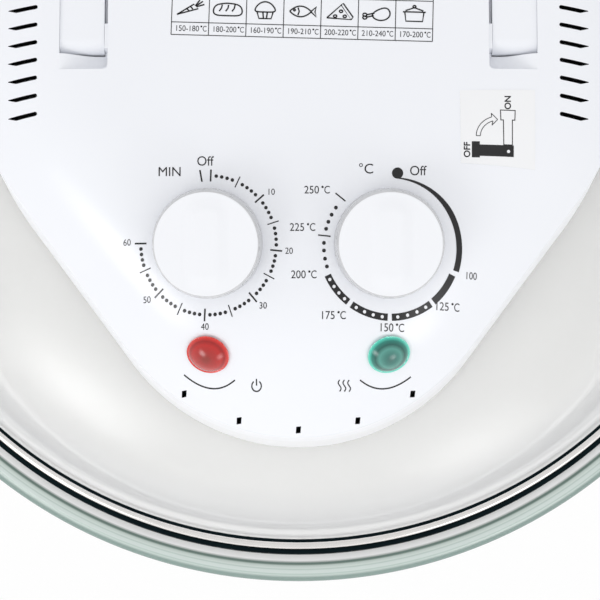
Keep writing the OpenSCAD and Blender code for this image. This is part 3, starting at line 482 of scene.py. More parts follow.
def between(x, y, low, high):
    """A closed solid over a grid of x, y, from the height low to the height high."""
    m, n = x.shape
    top, under = [np.stack([x, y, np.broadcast_to(z, x.shape)], -1).reshape(-1, 3)
        for z in (high, low)]
    g = np.arange(m * n).reshape(m, n)
    edge = np.concatenate([g[0, :-1], g[:-1, -1], g[-1, :0:-1], g[:0:-1, 0]])
    after = np.roll(edge, -1)
    sides = np.stack([edge, edge + m * n, after + m * n, after], -1)
    faces = net(m, n)
    return np.concatenate([top, under]), [f[::-1] for f in faces] + [
        [v + m * n for v in f] for f in faces] + sides.tolist()


def capped(rings, n):
    """The faces of a bar of that many rings of n points each, closed at both ends."""
    last = (rings - 1) * n
    return net(rings, n, False, True) + [list(range(n)), list(range(last, last + n))[::-1]]


def rod(radius, start, end, steps=48):
    """A closed round bar from one point to the other."""
    start, end = np.array(start, float), np.array(end, float)
    way = (end - start) / np.linalg.norm(end - start)
    side = np.cross(way, [0.3, 0.9, 0.31])
    side /= np.linalg.norm(side)
    a = np.arange(steps) * 2 * np.pi / steps
    ring = radius * (np.outer(np.cos(a), side) + np.outer(np.sin(a), np.cross(way, side)))
    return np.concatenate([ring + start, ring + end]), capped(2, steps)


def prism(outline, low, high):
    """A closed bar with that plan outline between two heights."""
    n = len(outline)
    rings = [np.column_stack([outline, np.full(n, z)]) for z in (low, high)]
    return np.concatenate(rings), capped(2, n)


def on_cover(pts, x, y):
    """Points about the origin, moved to the crown at x, y with their z along its normal."""
    x, y = float(x), float(y)
    turn = Vector((0, 0, 1)).rotation_difference(Vector(crown_normal(x, y))).to_matrix()
    return np.asarray(pts) @ np.array(turn).T + [x, y, float(crown(x, y))]


def joined(name, shapes):
    """One mesh of several closed solids, each turned outwards."""
    bm = bmesh.new()
    for pts, faces in shapes:
        bm.from_mesh(closed_mesh("part", pts, faces))
    mesh = bpy.data.meshes.new(name)
    bm.to_mesh(mesh)
    bm.free()
    return mesh


def carved(mesh, cutter, way="DIFFERENCE"):
    """The mesh less (or joined with) the other mesh, as an exact solid operation."""
    body = bpy.data.objects.new("body", mesh)
    tool = bpy.data.objects.new("tool", cutter)
    for o in (body, tool):
        bpy.context.scene.collection.objects.link(o)
    cut = body.modifiers.new("cut", "BOOLEAN")
    cut.operation, cut.solver, cut.object = way, "EXACT", tool
    bpy.context.view_layer.update()
    result = bpy.data.meshes.new_from_object(body.evaluated_get(bpy.context.evaluated_depsgraph_get()))
    for o in (body, tool):
        bpy.data.objects.remove(o)
    return result


# the outline's directions in order: round the head, down one tangent, round the tongue and
# back up the other tangent, each with its own centre and radius
lean = math.asin((HEAD_R - TONGUE_R) / APART)
way = np.concatenate([np.linspace(-lean, math.pi + lean, 181), np.full(24, math.pi + lean),
    np.linspace(math.pi + lean, 2 * math.pi - lean, 105), np.full(24, -lean)])
step = np.arange(1, 25) / 25
share = np.concatenate([np.zeros(181), step, np.ones(105), 1 - step])
centre = HEAD_Y - APART * share
radius = HEAD_R - (HEAD_R - TONGUE_R) * share


def outline_at(d):
    """The head's outline drawn in by d: centre plus (radius - d) along each direction."""
    return (radius - d) * np.cos(way), centre + (radius - d) * np.sin(way)


def flat_row(d, height):
    """The outline drawn in by d, at one height or at one for each point."""
    x, y = outline_at(d)
    return np.stack([x, y, np.broadcast_to(height, x.shape)], -1)


def skin_rows(insets, sink, shrink):
    """Rows of points of the crown at those insets, then shrunk towards (0, -20)."""
    rows = []
    for d in insets:
        x, y = outline_at(d)
        rows.append(np.stack([x, y, crown_at(y, d) - sink], -1))
    for k in shrink:
        x, y = outline_at(EDGE_WIDE)
        x, y = x * k, y * k - 20 * (1 - k)
        rows.append(np.stack([x, y, crown_at(y, EDGE_WIDE) - sink], -1))
    return rows


inner = skin_rows([WALL, 5, 9, 14, 20, 28, 36, 45], 3.2, [0.75, 0.5, 0.25, 0.0])[::-1]
edge_z = crown_at(outline_at(roll_in)[1], roll_in)
roll = [flat_row(ROLL * (1 - math.cos(a)), edge_z - ROLL * (math.sin(roll_end) - math.sin(a)))
    for a in np.linspace(0, roll_end, 7)]
walls = [flat_row(0, SPLIT + (roll[0][:, 2] - SPLIT) * k) for k in (0, 0.3, 0.6)]
outer = skin_rows([1.4, 2.4, 3.6, 5, 6.6, 8.4, 10.4, 12.6, 15, 17.6, 20.4, 23.4, 26.6, 30, 34, 38,
    41.5, 45], 0, np.linspace(1, 0, 23)[1:])
rows = inner + [flat_row(WALL, SPLIT)] + walls + roll + outer
shell = closed_mesh("shell", np.concatenate(rows), net(len(rows), len(way), False, True))

# the thick parts of the moulding round the handle's pockets, and the pockets themselves: a
# ledge in front, round clearance for the arm's toe, then the deep trough
blocks, cuts = [], []
for side in (-1, 1):
    x = np.linspace(57, 78.4, 12)[:, None] * np.ones((1, 40))
    rear = HEAD_Y + np.sqrt(107.7 ** 2 - x ** 2)
    y = -17.6 + (rear + 17.6) * np.linspace(0, 1, 40)[None, :]
    blocks.append(between(side * x, y, 284.1, crown(x, y) - 1.6))
    y = np.concatenate([np.linspace(-15.2, -13.6, 9), np.linspace(-13.2, -10.02, 8),
        -TOE_ROOM * np.cos(np.linspace(0.16, 1.25, 14)),
        [-1.0, -0.6, -0.5, 0, 2, 2.5, 6, 20, 40, 60, 80, 100, 130]])
    corner = np.clip(-13.6 - y, 0, 1.6)
    x0 = 59.6 + 1.6 - np.sqrt(1.6 ** 2 - corner ** 2 + 1e-6)
    across = np.concatenate([[0, 0.94, 1.0, 1.06], np.linspace(1.3, 14.7, 28),
        [15.08, 15.12, 15.9, 16.7, 17.6]]) / 17.6
    px = x0[:, None] + (77.2 - x0)[:, None] * across[None, :]
    py = np.repeat(y[:, None], len(across), 1)
    top = crown(px, py)
    fade = np.clip((76.2 - px) / 13.0, -0.08, 1)
    ledge = top - 5.6 * np.where(fade > 0, fade * fade * (3 - 2 * fade), fade)
    room_for_toe = PIVOT - np.sqrt(np.maximum(TOE_ROOM ** 2 - np.minimum(py, 0) ** 2, 0))
    trough = np.where(py > 1, 286.7, room_for_toe)
    cheek = np.where(py > -8.7, top - np.where(py < -0.55, 0.5, 4.0), ledge)
    beside = np.where(px < 60.62, cheek, np.where(px > 74.71, top + 0.3, trough))
    cuts.append(between(side * px, py, np.where(py > -10.015, beside, ledge), 340))
shell = carved(shell, joined("blocks", blocks), "UNION")
shell = carved(shell, joined("pockets", cuts))


def turned_by(degrees):
    """The matrix that turns rows of (x, y) to the left by degrees."""
    a = math.radians(degrees)
    return np.array([[math.cos(a), math.sin(a)], [-math.sin(a), math.cos(a)]])


# vents, each with a round inner end and an outer end that runs out to a point, and drains
slot_plan = np.concatenate([arc(-4.1, 0, 0.65, 90, 270, 10),
    [[2.2, -0.65], [4.75, 0.45], [4.6, 0.65]]])
slot_plan = slot_plan @ turned_by(-7.5)
cuts = [prism((slot_plan + [86.4, -29.2 + 5.6 * i]) * [side, 1], 288, 340)
    for side in (-1, 1) for i in range(15)]
for a in np.radians([-33, -16.5, 0, 16.5, 33]):
    at = np.array([66.8 * math.sin(a), HEAD_Y - APART - 66.8 * math.cos(a)])
    cuts.append(prism(at + 0.85 * np.array([[-1, -1.15], [0.8, -1.0], [1, 1.15], [-0.8, 1.0]]), 256, 340))
slots = joined("slots", cuts)
# the vents' and drains' walls take the near-black material: painted shade
slots.polygons.foreach_set("material_index", np.ones(len(slots.polygons), np.int32))
for mesh in (shell, slots):
    for k in range(3):
        mesh.materials.append(None)
shell = carved(shell, slots)

# holes for the shafts and lights, the pins, the switch's plunger and the cord's gland
cuts = []
for side in (-1, 1):
    for x, y, r in ((KNOB_X, KNOB_Y, 5.2), (LIGHT_X, LIGHT_Y, 6.0)):
        pts, faces = rod(r, (0, 0, -15), (0, 0, 15), 64)
        cuts.append((on_cover(pts, side * x, y), faces))
cover = carved(shell, joined("cuts", cuts))
bores = [rod(3.0, (side * 55, 0, PIVOT), (side * 80.2, 0, PIVOT), 32) for side in (-1, 1)]
bores.append(rod(2.05, (-ARM_X, 38, 276), (-ARM_X, 38, 296), 32))
out_way = np.array([math.cos(math.radians(65)), math.sin(math.radians(65)), 0])
gland_at = np.array([0, HEAD_Y, 267.993]) + HEAD_R * out_way
bores.append(rod(7.05, gland_at - 15 * out_way, gland_at + 15 * out_way))
cover = carved(cover, joined("bores", bores))


def unit(rows):
    """Rows of vectors at length 1; a zero row stays zero."""
    return rows / np.maximum(np.linalg.norm(rows, axis=1, keepdims=True), 1e-6)


def crowned_normals(mesh):
    """Gives the corners on the outer skin the skin's own normal: level on the wall, turning
    up in step with the roll's own arc to the crown's slope, and that slope above it."""
    owner = read(mesh.loops, "vertex_index", 1, np.int32)
    sizes = read(mesh.polygons, "loop_total", 1, np.int32)
    flat = np.repeat(read(mesh.polygons, "normal"), sizes, 0)
    x, y, z = (read(mesh.vertices, "co") * 1000 - AXIS)[owner].T
    d = inset(x, y)
    h = 0.02
    outward = unit(np.stack([inset(x - h, y) - inset(x + h, y), inset(x, y - h) - inset(x, y + h),
        np.zeros_like(x)], -1) / (2 * h))
    turned_up = (np.sin(np.arccos(np.clip(1 - d / ROLL, -1, 1))) / math.sin(roll_end))[:, None]
    rolled = unit((1 - turned_up) * outward + turned_up * crown_normal(x, y))
    normal = np.where((d < roll_in)[:, None], rolled, crown_normal(x, y))
    normal = np.where((d < 0.02)[:, None], outward, normal)
    normal[(d < 0.02) & (flat[:, 2] > 0.2)] = 0
    high = np.where(d < roll_in, 0.0, np.abs(z - crown(x, y)))
    on_skin = (np.einsum("ij,ij->i", flat, normal) > 0.85) & (high < 0.25)
    mesh.polygons.foreach_set("use_smooth", np.ones(len(mesh.polygons), bool))
    mesh.normals_split_custom_set(np.where(on_skin[:, None], normal, flat).tolist())


crowned_normals(cover)
middles = read(cover.polygons, "center") * 1000 - AXIS
on_wall = inset(middles[:, 0], middles[:, 1]) < 0.06
upright = np.abs(read(cover.polygons, "normal")[:, 2]) < 0.3
kinds = read(cover.polygons, "material_index", 1, np.int32)
# upright wall faces take the lighter copy of the white: painted light
kinds[on_wall & upright] = 2
cover.polygons.foreach_set("material_index", kinds)
piece("head_shell", cover, "lid", [head_plastic, slot_painted_shade, skirt_painted_light],
    ["head_cover"], crease=None)

# ---- folding handle ----
# A white moulded bail: two arms on steel pins, with a round toe in each pocket and a
# grip bar behind the head. Folded down, it presses the safety switch on.
def slabbed(outline, start, end, edge):
    """A closed outline in y and z, drawn out along x with edges rounded by edge: the
    outline is drawn in by edge (1 - sin t) while it moves out by edge (1 - cos t)."""
    ahead = np.roll(outline, -1, 0) - np.roll(outline, 1, 0)
    side = unit(np.stack([ahead[:, 1], -ahead[:, 0]], -1))
    t = np.radians([0, 20, 40, 60, 80, 90])
    along = np.concatenate([start + edge * (1 - np.cos(t)), end - edge * (1 - np.cos(t[::-1]))])
    draw = np.concatenate([edge * (1 - np.sin(t)), edge * (1 - np.sin(t[::-1]))])
    rings = [np.column_stack([np.full(len(outline), a), outline - side * k]) for a, k in zip(along, draw)]
    return np.concatenate(rings), capped(len(rings), len(outline))


UNDER, OVER = 294.993, 308.993  # the arm's lower and upper face
arm_side = np.concatenate([arc(-5, PIVOT + 2.5, 4.5, 90, 180, 16), arc(-5, PIVOT - 2.5, 4.5, 180, 270, 16),
    [[20, UNDER], [60, UNDER], [100, UNDER]], arc(146, UNDER + 3, 3, -90, 0, 8),
    arc(146, OVER - 3, 3, 0, 90, 8), [[100, OVER], [60, OVER], [20, OVER]]])
bar_side = np.concatenate([arc(138.2, 298.2, 3.2, 180, 270, 10), arc(145.8, 298.2, 3.2, -90, 0, 10),
    arc(145.8, 305.8, 3.2, 0, 90, 10), arc(138.2, 305.8, 3.2, 90, 180, 10)])
arms = [slabbed(arm_side, side * ARM_X - 7, side * ARM_X + 7, 0.15) for side in (-1, 1)]
bail = carved(closed_mesh("bail", *slabbed(bar_side, -62.4, 62.4, 1.0)), joined("arms", arms), "UNION")
bores = [rod(3.05, (side * 59, 0, PIVOT), (side * 76, 0, PIVOT), 48) for side in (-1, 1)]
bail = carved(bail, joined("bores", bores))
piece("carry_handle", bail, "handle", head_plastic, ["handle"])

# ---- knobs ----
# Two hollow white knobs, each a shallow cup with a soft-edged grip bar moulded across its
# face. They push on to the shafts and stand just clear of the cover. Their sides are painted
# grey: painted shade of the narrow gap round them.
knob_plastic = finish("knob_plastic", (0.885, 0.897, 0.93), (0.875, 0.887, 0.92), 30, (0.16, 0.24),
    5, 0.02)
# grey on the knobs' sides: painted shade of the gap round them, on the same white plastic
knob_side_painted_shade = finish("knob_side_painted_shade", (0.62, 0.625, 0.64), (0.59, 0.595, 0.61), 12, (0.24, 0.34), 3, 0.03)
FACE_R = 0.0160  # the knob's side starts here, in metres


def smooth(t):
    """A smooth step from 0 to 1 while t runs from 0 to 1: 3 t squared less 2 t cubed."""
    t = np.clip(t, 0, 1)
    return t * t * (3 - 2 * t)


def turned_solid(r, z, steps):
    """Points and faces of rings of radius r and height z about an upright axis."""
    a = np.arange(steps) * 2 * np.pi / steps
    heights = np.outer(z, np.ones(steps))
    pts = np.stack([np.outer(r, np.cos(a)), np.outer(r, np.sin(a)), heights], -1)
    return pts.reshape(-1, 3), net(len(r), steps, False, True)


cup = np.array([(0, 10.4), (3.05, 10.4), (3.05, 2.5), (6.2, 2.5), (6.2, 0.8), (12, 0.8), (17.0, 0.8),
    (17.2, 1.0), (16.9, 4.5), (16.5, 8.5), *arc(15.7, 10.1, 0.7, 0, 90, 8)])
face = np.stack([np.linspace(15.3, 0, 46), np.full(46, 10.8)], -1)
pts, faces = turned_solid(*np.concatenate([cup, face]).T, 144)
# the face rises 0.9 mm over the bar by a smooth step, which dies away at the bar's ends
lift = (0.9 * smooth((7.4 - np.abs(pts[:, 0])) / 4.6)
    * smooth((15.4 - np.hypot(pts[:, 0], pts[:, 1])) / 6.0))
lift[:len(cup) * 144] = 0
pts[:, 2] += lift
middles = read(closed_mesh("knob", pts, faces).polygons, "center") - AXIS / 1000
shaded_side = np.hypot(middles[:, 0], middles[:, 1]) > FACE_R
for side, name, body, node in ((-1, "time_knob", "time_dial", "knob_time"),
        (1, "heat_knob", "temp_dial", "knob_temp")):
    mesh = closed_mesh(name, on_cover(pts, side * KNOB_X, KNOB_Y), faces)
    mesh.polygons.foreach_set("material_index", shaded_side.astype(np.int32))
    piece(name, mesh, body, [knob_plastic, knob_side_painted_shade], [node], crease=50)

# ---- lights ----
# Two domed lenses of tinted clear plastic over neon lamps. Their tint is painted by
# distance: a bright rim and a darker ring, painted light and shade where the dome bends the
# light, and a dark middle painted for the grey lamp behind.
# each tint by the distance in millimetres from the middle of the lens's foot
red = [(3.0, (0.22, 0.05, 0.03)), (3.75, (0.5, 0.03, 0.025)), (5.0, (0.66, 0.02, 0.016)),
    (5.7, (0.45, 0.006, 0.005)), (6.2, (0.85, 0.03, 0.022)), (6.7, (0.9, 0.07, 0.05)),
    (7.0, (0.62, 0.05, 0.04))]
green = [(3.0, (0.07, 0.16, 0.14)), (3.7, (0.06, 0.26, 0.22)), (4.4, (0.12, 0.42, 0.35)),
    (5.1, (0.015, 0.14, 0.115)), (5.8, (0.02, 0.28, 0.22)), (6.3, (0.09, 0.78, 0.6)),
    (6.7, (0.3, 0.95, 0.8)), (7.0, (0.35, 0.8, 0.68))]
LENS_R, LENS_H = 6.8, 3.4
ball = (LENS_R ** 2 + LENS_H ** 2) / (2 * LENS_H)
tip = math.degrees(math.asin(6.62 / ball))
lens_side = np.concatenate([[[0, -5.2], [5.8, -5.2], [5.8, 0.4], [6.6, 0.4], [LENS_R, 0.5]],
    arc(0, LENS_H - ball, ball, 90 - tip, 90, 16)])
for side, name, node, glow, slot, tones in (
        (-1, "red_light", "lens_power", "red_tint_painted_light", "red_lens", red),
        (1, "green_light", "lens_heat", "green_tint_painted_light", "green_lens", green)):
    x = side * LIGHT_X
    tint = finish(glow, tones[0][1], tones[0][1], 3, (0.03, 0.06), 3, 0.02, Transmission_Weight=0.25,
        IOR=1.49, Specular_IOR_Level=0.1, Coat_Weight=1.0, Coat_Roughness=0.02, Coat_IOR=1.5)
    by_distance(tint, np.array([x, LIGHT_Y, float(crown(x, LIGHT_Y))]), tones)
    pts, faces = turned_solid(*lens_side.T, 96)
    piece(name, closed_mesh(name, on_cover(pts, x, LIGHT_Y), faces), "lid", tint, [node])

# ---- printing on the head ----
# Scales and signs are pad-printed in black ink straight on the gloss plastic; they are
# plain numbers, Off, units and simple signs.
ink = finish("ink", (0.012, 0.012, 0.014), (0.008, 0.008, 0.009), 8, (0.12, 0.2), 2, 0.01)
white_ink = finish("white_ink", (0.86, 0.87, 0.9), (0.84, 0.85, 0.88), 8, (0.12, 0.2), 2, 0.01)
CAPITAL = 0.729  # height of the typeface's capitals at size 1


def letters(text, tall, x, y, turn=0.0, heavy=0.0, narrow=1.0):
    """Flat letters whose capitals are tall mm high, centred on x, y and turned by degrees."""
    curve = bpy.data.curves.new("letters", "FONT")
    curve.body, curve.align_x, curve.align_y, curve.offset = text, "CENTER", "CENTER", heavy
    curve.resolution_u = 6
    obj = bpy.data.objects.new("letters", curve)
    bpy.context.scene.collection.objects.link(obj)
    bpy.context.view_layer.update()
    mesh = bpy.data.meshes.new_from_object(obj.evaluated_get(bpy.context.evaluated_depsgraph_get()))
    bpy.data.objects.remove(obj)
    at = read(mesh.vertices, "co")[:, :2] * [narrow, 1] * tall / CAPITAL
    faces = [list(p.vertices) if p.normal.z > 0 else list(p.vertices)[::-1] for p in mesh.polygons]
    return at @ turned_by(turn) + [x, y], faces


def stroke(points, width):
    """A ribbon along points: half the width (a number or one for each point) to each side."""
    points = np.asarray(points, float)
    ahead = np.gradient(points, axis=0)
    side = unit(np.stack([-ahead[:, 1], ahead[:, 0]], -1))
    half = np.broadcast_to(width, (len(points),))[:, None] / 2
    return np.concatenate([points - side * half, points + side * half]), [
        [i, i + 1, i + 1 + len(points), i + len(points)] for i in range(len(points) - 1)]


def line(x0, y0, x1, y1, width):
    """A straight ribbon with a point for each millimetre, so that it follows the crown."""
    n = int(math.hypot(x1 - x0, y1 - y0)) + 2
    return stroke(np.stack([np.linspace(x0, x1, n), np.linspace(y0, y1, n)], -1), width)


def oval(x, y, wide, high, degrees):
    """Points about (x, y) on an oval of half widths wide and high, at those degrees."""
    a = np.radians(degrees)
    return np.stack([x + wide * np.cos(a), y + high * np.sin(a)], -1)


def disc(x, y, radius, n=20):
    """A flat round dot."""
    return oval(x, y, radius, radius, np.arange(n) * 360 / n), [list(range(n))]


def printed(name, marks, lift, material):
    """All flat marks as one piece, each point lifted on to the crown."""
    pts, faces, start = [], [], 0
    for at, fs in marks:
        pts.append(at)
        faces += [[v + start for v in f] for f in fs]
        start += len(at)
    at = np.concatenate(pts)
    mesh = bpy.data.meshes.new(name)
    at = np.column_stack([at, crown(at[:, 0], at[:, 1]) + lift])
    mesh.from_pydata(((at + AXIS) / 1000).tolist(), [], faces)
    piece(name, mesh, "lid", material, crease=None)


def around(cx, cy, radius, degrees):
    """The point at that clock angle and distance from a dial's middle."""
    a = np.radians(degrees)
    return cx + radius * np.sin(a), cy + radius * np.cos(a)


def clock_arc(cx, cy, radius, degrees, width):
    """A ribbon through such points."""
    return stroke(np.stack(around(cx, cy, radius, degrees), -1), width)


# the time scale
cx, cy = -27.95, -70.0
ticks = [(float(np.interp(m, [0, 20, 40, 60], [2.0, 95.2, 183.4, 271.6])), m) for m in range(61)]
marks = [line(*around(cx, cy, 19.3, a), *around(cx, cy, 23.0, a), 0.34 if m % 10 else 0.5)
    if m % 5 == 0 else disc(*around(cx, cy, 21.1, a), 0.56) for a, m in ticks]
marks.append(line(*around(cx, cy, 19.3, -5.9), *around(cx, cy, 23.0, -6.6), 0.5))
marks += [letters(text, 2.0, x, y, narrow=0.92) for text, x, y in (("10", -8.5, -54),
    ("20", -2.9, -72.1), ("30", -11, -88.6), ("40", -29.2, -94.6), ("50", -47.4, -86), ("60", -53.4, -69))]
marks += [letters("Off", 3.1, -29, -44.5, narrow=0.92), letters("MIN", 3.0, -40, -47.8)]

# the heat scale: a tapering arc from Off, then a broad ring with white dots, then dots
cx, cy = 28.4, -70.6
a = np.linspace(6, 108.5, 60)
marks += [disc(30.8, -48.1, 1.75, 40), clock_arc(cx, cy,
    np.interp(a, [6, 20, 50, 80, 108.5], [21.1, 21.2, 21.4, 21.6, 21.9]), a,
    np.interp(a, [6, 60, 108.5], [0.35, 1.75, 1.85]))]
ring_dots = []
for first, last, dots in ((112.5, 139.5, 0), (142.5, 178.0, 4), (181.5, 214.0, 4), (217.5, 245.5, 4)):
    marks.append(clock_arc(cx, cy, 21.2, np.linspace(first, last, 24), 2.1))
    ring_dots += [disc(*around(cx, cy, 21.2, first + (last - first) * (k + 0.6) / 4.2), 0.5)
        for k in range(dots)]
marks += [disc(*around(cx, cy, 20.5, a), 0.6)
    for a in (252.5, 259.3, 266.3, 272.8, 285.0, 291.3, 298.0, 305.2)]
marks += [line(6.1, -67.2, 10, -67.6, 0.42), line(11.5, -54.3, 14.6, -56.8, 0.42)]
for text, x, y in (("125", 45.9, -88.1), ("150", 28.4, -94.9), ("175", 10.1, -91.5),
        ("200", 1.0, -79.3), ("225", 0.6, -64.9), ("250", 5.1, -53.4)):
    marks += [letters(text, 2.5, x - 1.0, y, narrow=0.92), disc(x + 2.4, y + 1.0, 0.36),
        letters("C", 2.5, x + 3.8, y, narrow=0.8)]
marks += [letters("Off", 3.1, 37.1, -47.5, narrow=0.92), letters("°C", 3.2, 21, -46.9),
    letters("100", 2.2, 54.0, -78.7, narrow=0.86)]

# arcs under the lights, with a mains sign and a warmth sign beside them
for points in ([(-36.2, -107.8), (-27.6, -112.0), (-20, -109.9)],
        [(19.4, -109.9), (27.1, -112.1), (35.6, -108.4)]):
    start, middle, end = np.array(points)
    t = np.linspace(0, 1, 25)[:, None]
    bend = 2 * middle - (start + end) / 2
    marks.append(stroke((1 - t) ** 2 * start + 2 * t * (1 - t) * bend + t * t * end, 0.42))
marks += [clock_arc(-13.2, -111.7, 1.5, np.linspace(35, 325, 30), 0.4),
    line(-13.2, -111.6, -13.2, -109.7, 0.4)]
t = np.linspace(0, 1, 20)
for x in (13.0, 14.5, 16.0):
    marks.append(stroke(np.stack([x + 0.45 * np.sin(2 * np.pi * t), -113.2 + 3.2 * t], -1), 0.36))
printed("dial_print", marks, 0.05, ink)
printed("dial_print_dots", ring_dots, 0.08, white_ink)

# ---- sticker that shows the handle ----
# A small clear-edged film label. It shows the handle in black where the oven is off, and
# in outline where it is on, with a curved arrow between them.
film = finish("film", (0.885, 0.89, 0.905), (0.872, 0.878, 0.892), 12, (0.08, 0.14), 6, 0.02)
near_left, near_right, far_right, far_left = np.array([[50.5, -44.9], [73.9, -46.2],
    [73.8, -21.8], [50.3, -22.0]])
u, v = [k[..., None] for k in np.meshgrid(*[np.linspace(0, 1, 14)] * 2, indexing="ij")]
spot = (near_left * (1 - u) * (1 - v) + near_right * u * (1 - v) + far_right * u * v
    + far_left * (1 - u) * v)
x, y = spot[..., 0], spot[..., 1]
label = closed_mesh("handle_label", *between(x, y, crown(x, y) + 0.02, crown(x, y) + 0.12))
piece("handle_label", label, "lid", film)


def frame_line(points, width):
    """A closed thin line round straight-sided points, each corner filled."""
    marks = []
    for (x0, y0), (x1, y1) in zip(points, points[1:] + points[:1]):
        k = width / 2 / math.hypot(x1 - x0, y1 - y0)
        dx, dy = (x1 - x0) * k, (y1 - y0) * k
        marks.append(line(x0 - dx, y0 - dy, x1 + dx, y1 + dy, width))
    return marks


HAIR = 0.24  # width of the arrow's line
marks = [line(53.9, -42.9 + 0.5 * k, 56.4, -42.9 + 0.5 * k, 0.52) for k in range(10)]
marks += [line(56.3, -42.4 + 0.5 * k, 67.05, -42.5 + 0.5 * k, 0.52) for k in range(7)]
marks += frame_line([(63.9, -39.1), (63.8, -31.4), (63.0, -31.4), (62.9, -28.3), (67.5, -28.4),
    (67.4, -31.4), (66.6, -31.4), (66.6, -39.1)], 0.28)
t = np.linspace(180, 108, 16)
marks += [stroke(oval(62.3, -36.4, 7.0, 6.2, t), HAIR), stroke(oval(62.3, -36.4, 5.7, 4.9, t), HAIR)]
marks += [line(*ends, HAIR) for ends in ((55.3, -36.4, 56.6, -36.4), (60.14, -30.5, 60.0, -29.3),
    (60.0, -29.3, 62.0, -31.3), (62.0, -31.3, 60.2, -33.1), (60.2, -33.1, 60.54, -31.74))]
marks += [letters("OFF", 2.0, 52.5, -40.8, 90, 0.025), letters("ON", 2.0, 65.3, -25.9, 90, 0.025)]
printed("label_print", marks, 0.15, ink)
printed("label_print_dot", [disc(65.4, -41.1, 0.5)], 0.17, white_ink)

# ---- cooking chart ----
# Two rows of seven framed cells printed behind the dials: a small food sign in each, with
# the range of heat for it below.
CELL, CHART_WIDE, ROW, HEAT_H = 11.67, 81.7, 12.9, 4.05
FRAME, PEN = 0.26, 0.46  # widths of the frame's lines and of the signs'
chart_turn, chart_at = turned_by(-1.6), np.array([-39.8, -4.2])


def curve_of(points, n=24):
    """A smooth closed loop through points: the sum of their first few Fourier terms."""
    z = np.array([complex(*p) for p in points])
    f = np.fft.fft(z) / len(z)
    k = np.fft.fftfreq(len(z), 1 / len(z))
    t = np.linspace(0, 1, n * 3 + 1)
    w = (f[None, :] * np.exp(2j * np.pi * np.outer(t, k))).sum(1)
    return np.stack([w.real, w.imag], -1)


def ring(x, y, wide, high):
    """A closed oval."""
    return oval(x, y, wide, high, np.linspace(0, 360, 40))


s = np.linspace(-1, 1, 30)
fish_back = np.stack([3.4 * s, 1.7 * (1 - s * s)], -1)
# the strokes of each food sign, some 9 by 6 mm about its middle
SIGNS = {
    "loaf": [curve_of([(-4, -1.6), (0, -2), (4, -1.6), (4.2, 0.6), (2, 1.8), (0, 2), (-2, 1.8),
        (-4.2, 0.6)]),
        *[[(k - 0.7, -0.6), (k, 0.4), (k + 0.2, 1.5)] for k in (-2, 0, 2)]],
    "fish": [np.concatenate([fish_back, -fish_back]) + [-0.6, 0],
        [(2.7, 0.1), (4.4, 1.6), (3.9, 0), (4.4, -1.6), (2.7, -0.1)],
        ring(-2.5, 0.4, 0.28, 0.28), [(-1.4, 1.2), (-1.0, 0), (-1.4, -1.2)]],
    "slice": [[(-4, -1.8), (3.6, -2.2), (0.4, 2.4), (-4, -1.8)],
        [(3.6, -2.2), (4.2, -1.4), (1.0, 3.0), (0.4, 2.4)],
        *[ring(x, y, 0.5, 0.4) for x, y in ((0.4, 0.4), (-1.4, -1.2), (1.6, -1.2))]],
    "cake": [[(-2.6, -0.2), (-1.9, -2.6), (1.9, -2.6), (2.6, -0.2)], [(-0.7, -0.4), (-0.5, -2.5)],
        [(0.7, -0.4), (0.5, -2.5)],
        curve_of([(-3, -0.2), (0, -0.5), (3, -0.2), (2.4, 1.6), (0, 2.8), (-2.4, 1.6)])],
    "leg": [curve_of([(-1.2, -1.2), (1.2, -2.2), (3.6, -1.2), (3.9, 0.8), (2.2, 1.8), (-0.6, 0.6)]),
        [(-1.0, -0.7), (-3.4, -1.3)], [(-0.8, 0.1), (-3.4, -0.5)],
        ring(-3.8, -0.5, 0.6, 0.5), ring(-3.8, -1.4, 0.6, 0.5)],
    "root": [[(-4.2, -2.0), (1.0, 1.4), (2.4, 0.0), (-4.2, -2.0)], [(1.6, 0.8), (3.8, 2.4)],
        [(1.8, 0.6), (4.3, 1.4)], [(1.5, 0.9), (2.8, 2.8)], [(-1.2, -0.1), (-0.5, -0.7)],
        [(0, 0.6), (0.7, -0.2)]],
    "pot": [[(-3, 0.8), (-2.6, -2.2), (2.6, -2.2), (3, 0.8)], [(-3.6, 0.8), (3.6, 0.8)],
        [(-2.8, 1.2), (0, 2.2), (2.8, 1.2)], ring(0, 2.5, 0.45, 0.4)]}
lower = (("root", "150-180"), ("loaf", "180-200"), ("cake", "160-190"), ("fish", "190-210"),
    ("slice", "200-220"), ("leg", "210-240"), ("pot", "170-200"))
upper = (("pot", "180-210"), ("slice", "190-220"), ("leg", "220-240"), ("root", "160-180"),
    ("cake", "170-190"), ("fish", "180-210"), ("loaf", "200-220"))
marks = [line(0, y, CHART_WIDE, y, FRAME) for y in (0.0, HEAT_H, ROW, ROW + HEAT_H, 2 * ROW)]
marks += [line(k * CELL, y, k * CELL, y + ROW, FRAME) for y in (0.0, ROW) for k in range(8)]
for y, row in ((0.0, lower), (ROW, upper)):
    for k, (kind, heat) in enumerate(row):
        x = (k + 0.5) * CELL
        marks += [stroke(np.array(points) + [x, y + 8.5], PEN) for points in SIGNS[kind]]
        marks += [letters(heat, 1.9, x - 0.9, y + 2.0, narrow=0.88), disc(x + 3.55, y + 2.8, 0.3, 12),
            letters("C", 1.9, x + 4.6, y + 2.0, narrow=0.75)]
printed("chart_print", [(at @ chart_turn + chart_at, faces) for at, faces in marks], 0.05, ink)

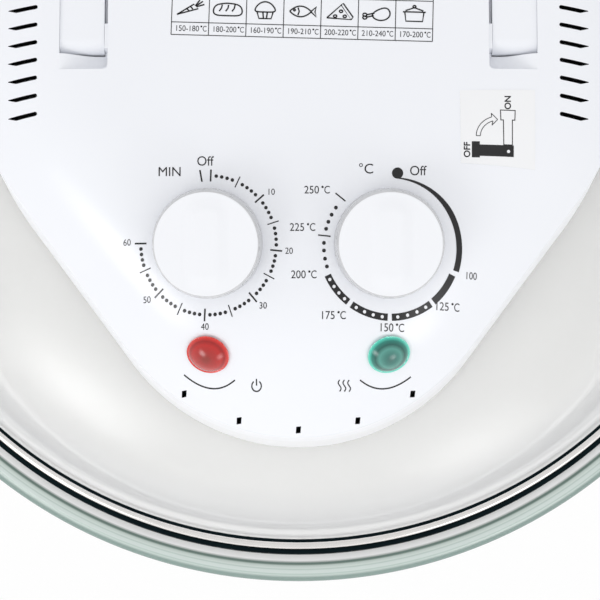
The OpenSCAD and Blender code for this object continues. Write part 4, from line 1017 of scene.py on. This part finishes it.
# ---- works under the cover ----
# Heater, fan motor, controls and wiring parts, each in what such parts are made of.
spun_aluminium = finish("spun_aluminium", (0.78, 0.78, 0.79), (0.7, 0.7, 0.72), 12, (0.24, 0.38),
    0.5, 0.015, (1, 1, 6), Metallic=1.0)
plated_wire = finish("plated_wire", (0.72, 0.72, 0.73), (0.64, 0.64, 0.66), 5, (0.12, 0.22),
    1, 0.01, Metallic=1.0)
quartz = lets_light_in(finish("quartz", (0.96, 0.95, 0.93), (0.9, 0.89, 0.87), 10, (0.08, 0.2),
    4, 0.03, Transmission_Weight=0.7, IOR=1.46))
ceramic = finish("ceramic", (0.8, 0.79, 0.75), (0.72, 0.71, 0.67), 3, (0.55, 0.7), 0.5, 0.04)
copper = finish("copper", (0.72, 0.33, 0.16), (0.55, 0.22, 0.09), 1.2, (0.25, 0.4), 0.6, 0.1,
    (1, 1, 6), Metallic=1.0)
iron = finish("iron", (0.34, 0.34, 0.36), (0.24, 0.24, 0.26), 2, (0.4, 0.55), 0.5, 0.05,
    (1, 1, 12), Metallic=1.0)
brass = finish("brass", (0.75, 0.6, 0.28), (0.62, 0.48, 0.2), 2, (0.22, 0.34), 0.5, 0.01,
    Metallic=1.0)
nylon = finish("nylon", (0.72, 0.69, 0.6), (0.66, 0.63, 0.54), 8, (0.35, 0.5), 0.6, 0.04)
phenolic = finish("phenolic", (0.14, 0.07, 0.035), (0.1, 0.05, 0.025), 4, (0.35, 0.5), 0.5, 0.05)
black_plastic = finish("black_plastic", (0.022, 0.022, 0.024), (0.014, 0.014, 0.015), 8,
    (0.3, 0.42), 0.6, 0.04)

wear(spun_aluminium, "reflector_pan", "heat_shield", "motor_brackets", "convection_fan", "cooling_fan")
wear(plated_wire, "lamp_guard", "lamp_clips", "sensor_bulb", "rotor_shaft")
wear(quartz, "halogen_ring")
wear(ceramic, "lamp_caps", "terminal_block")
wear(copper, "motor_coil")
wear(iron, "motor_stator", "motor_rotor")
wear(brass, "timer_shaft", "thermostat_shaft")
wear(nylon, "timer_body", "neon_lamps")
wear(phenolic, "thermostat_body")
wear(black_plastic, "safety_switch", "switch_plunger", "thermal_fuse", "cord_gland")
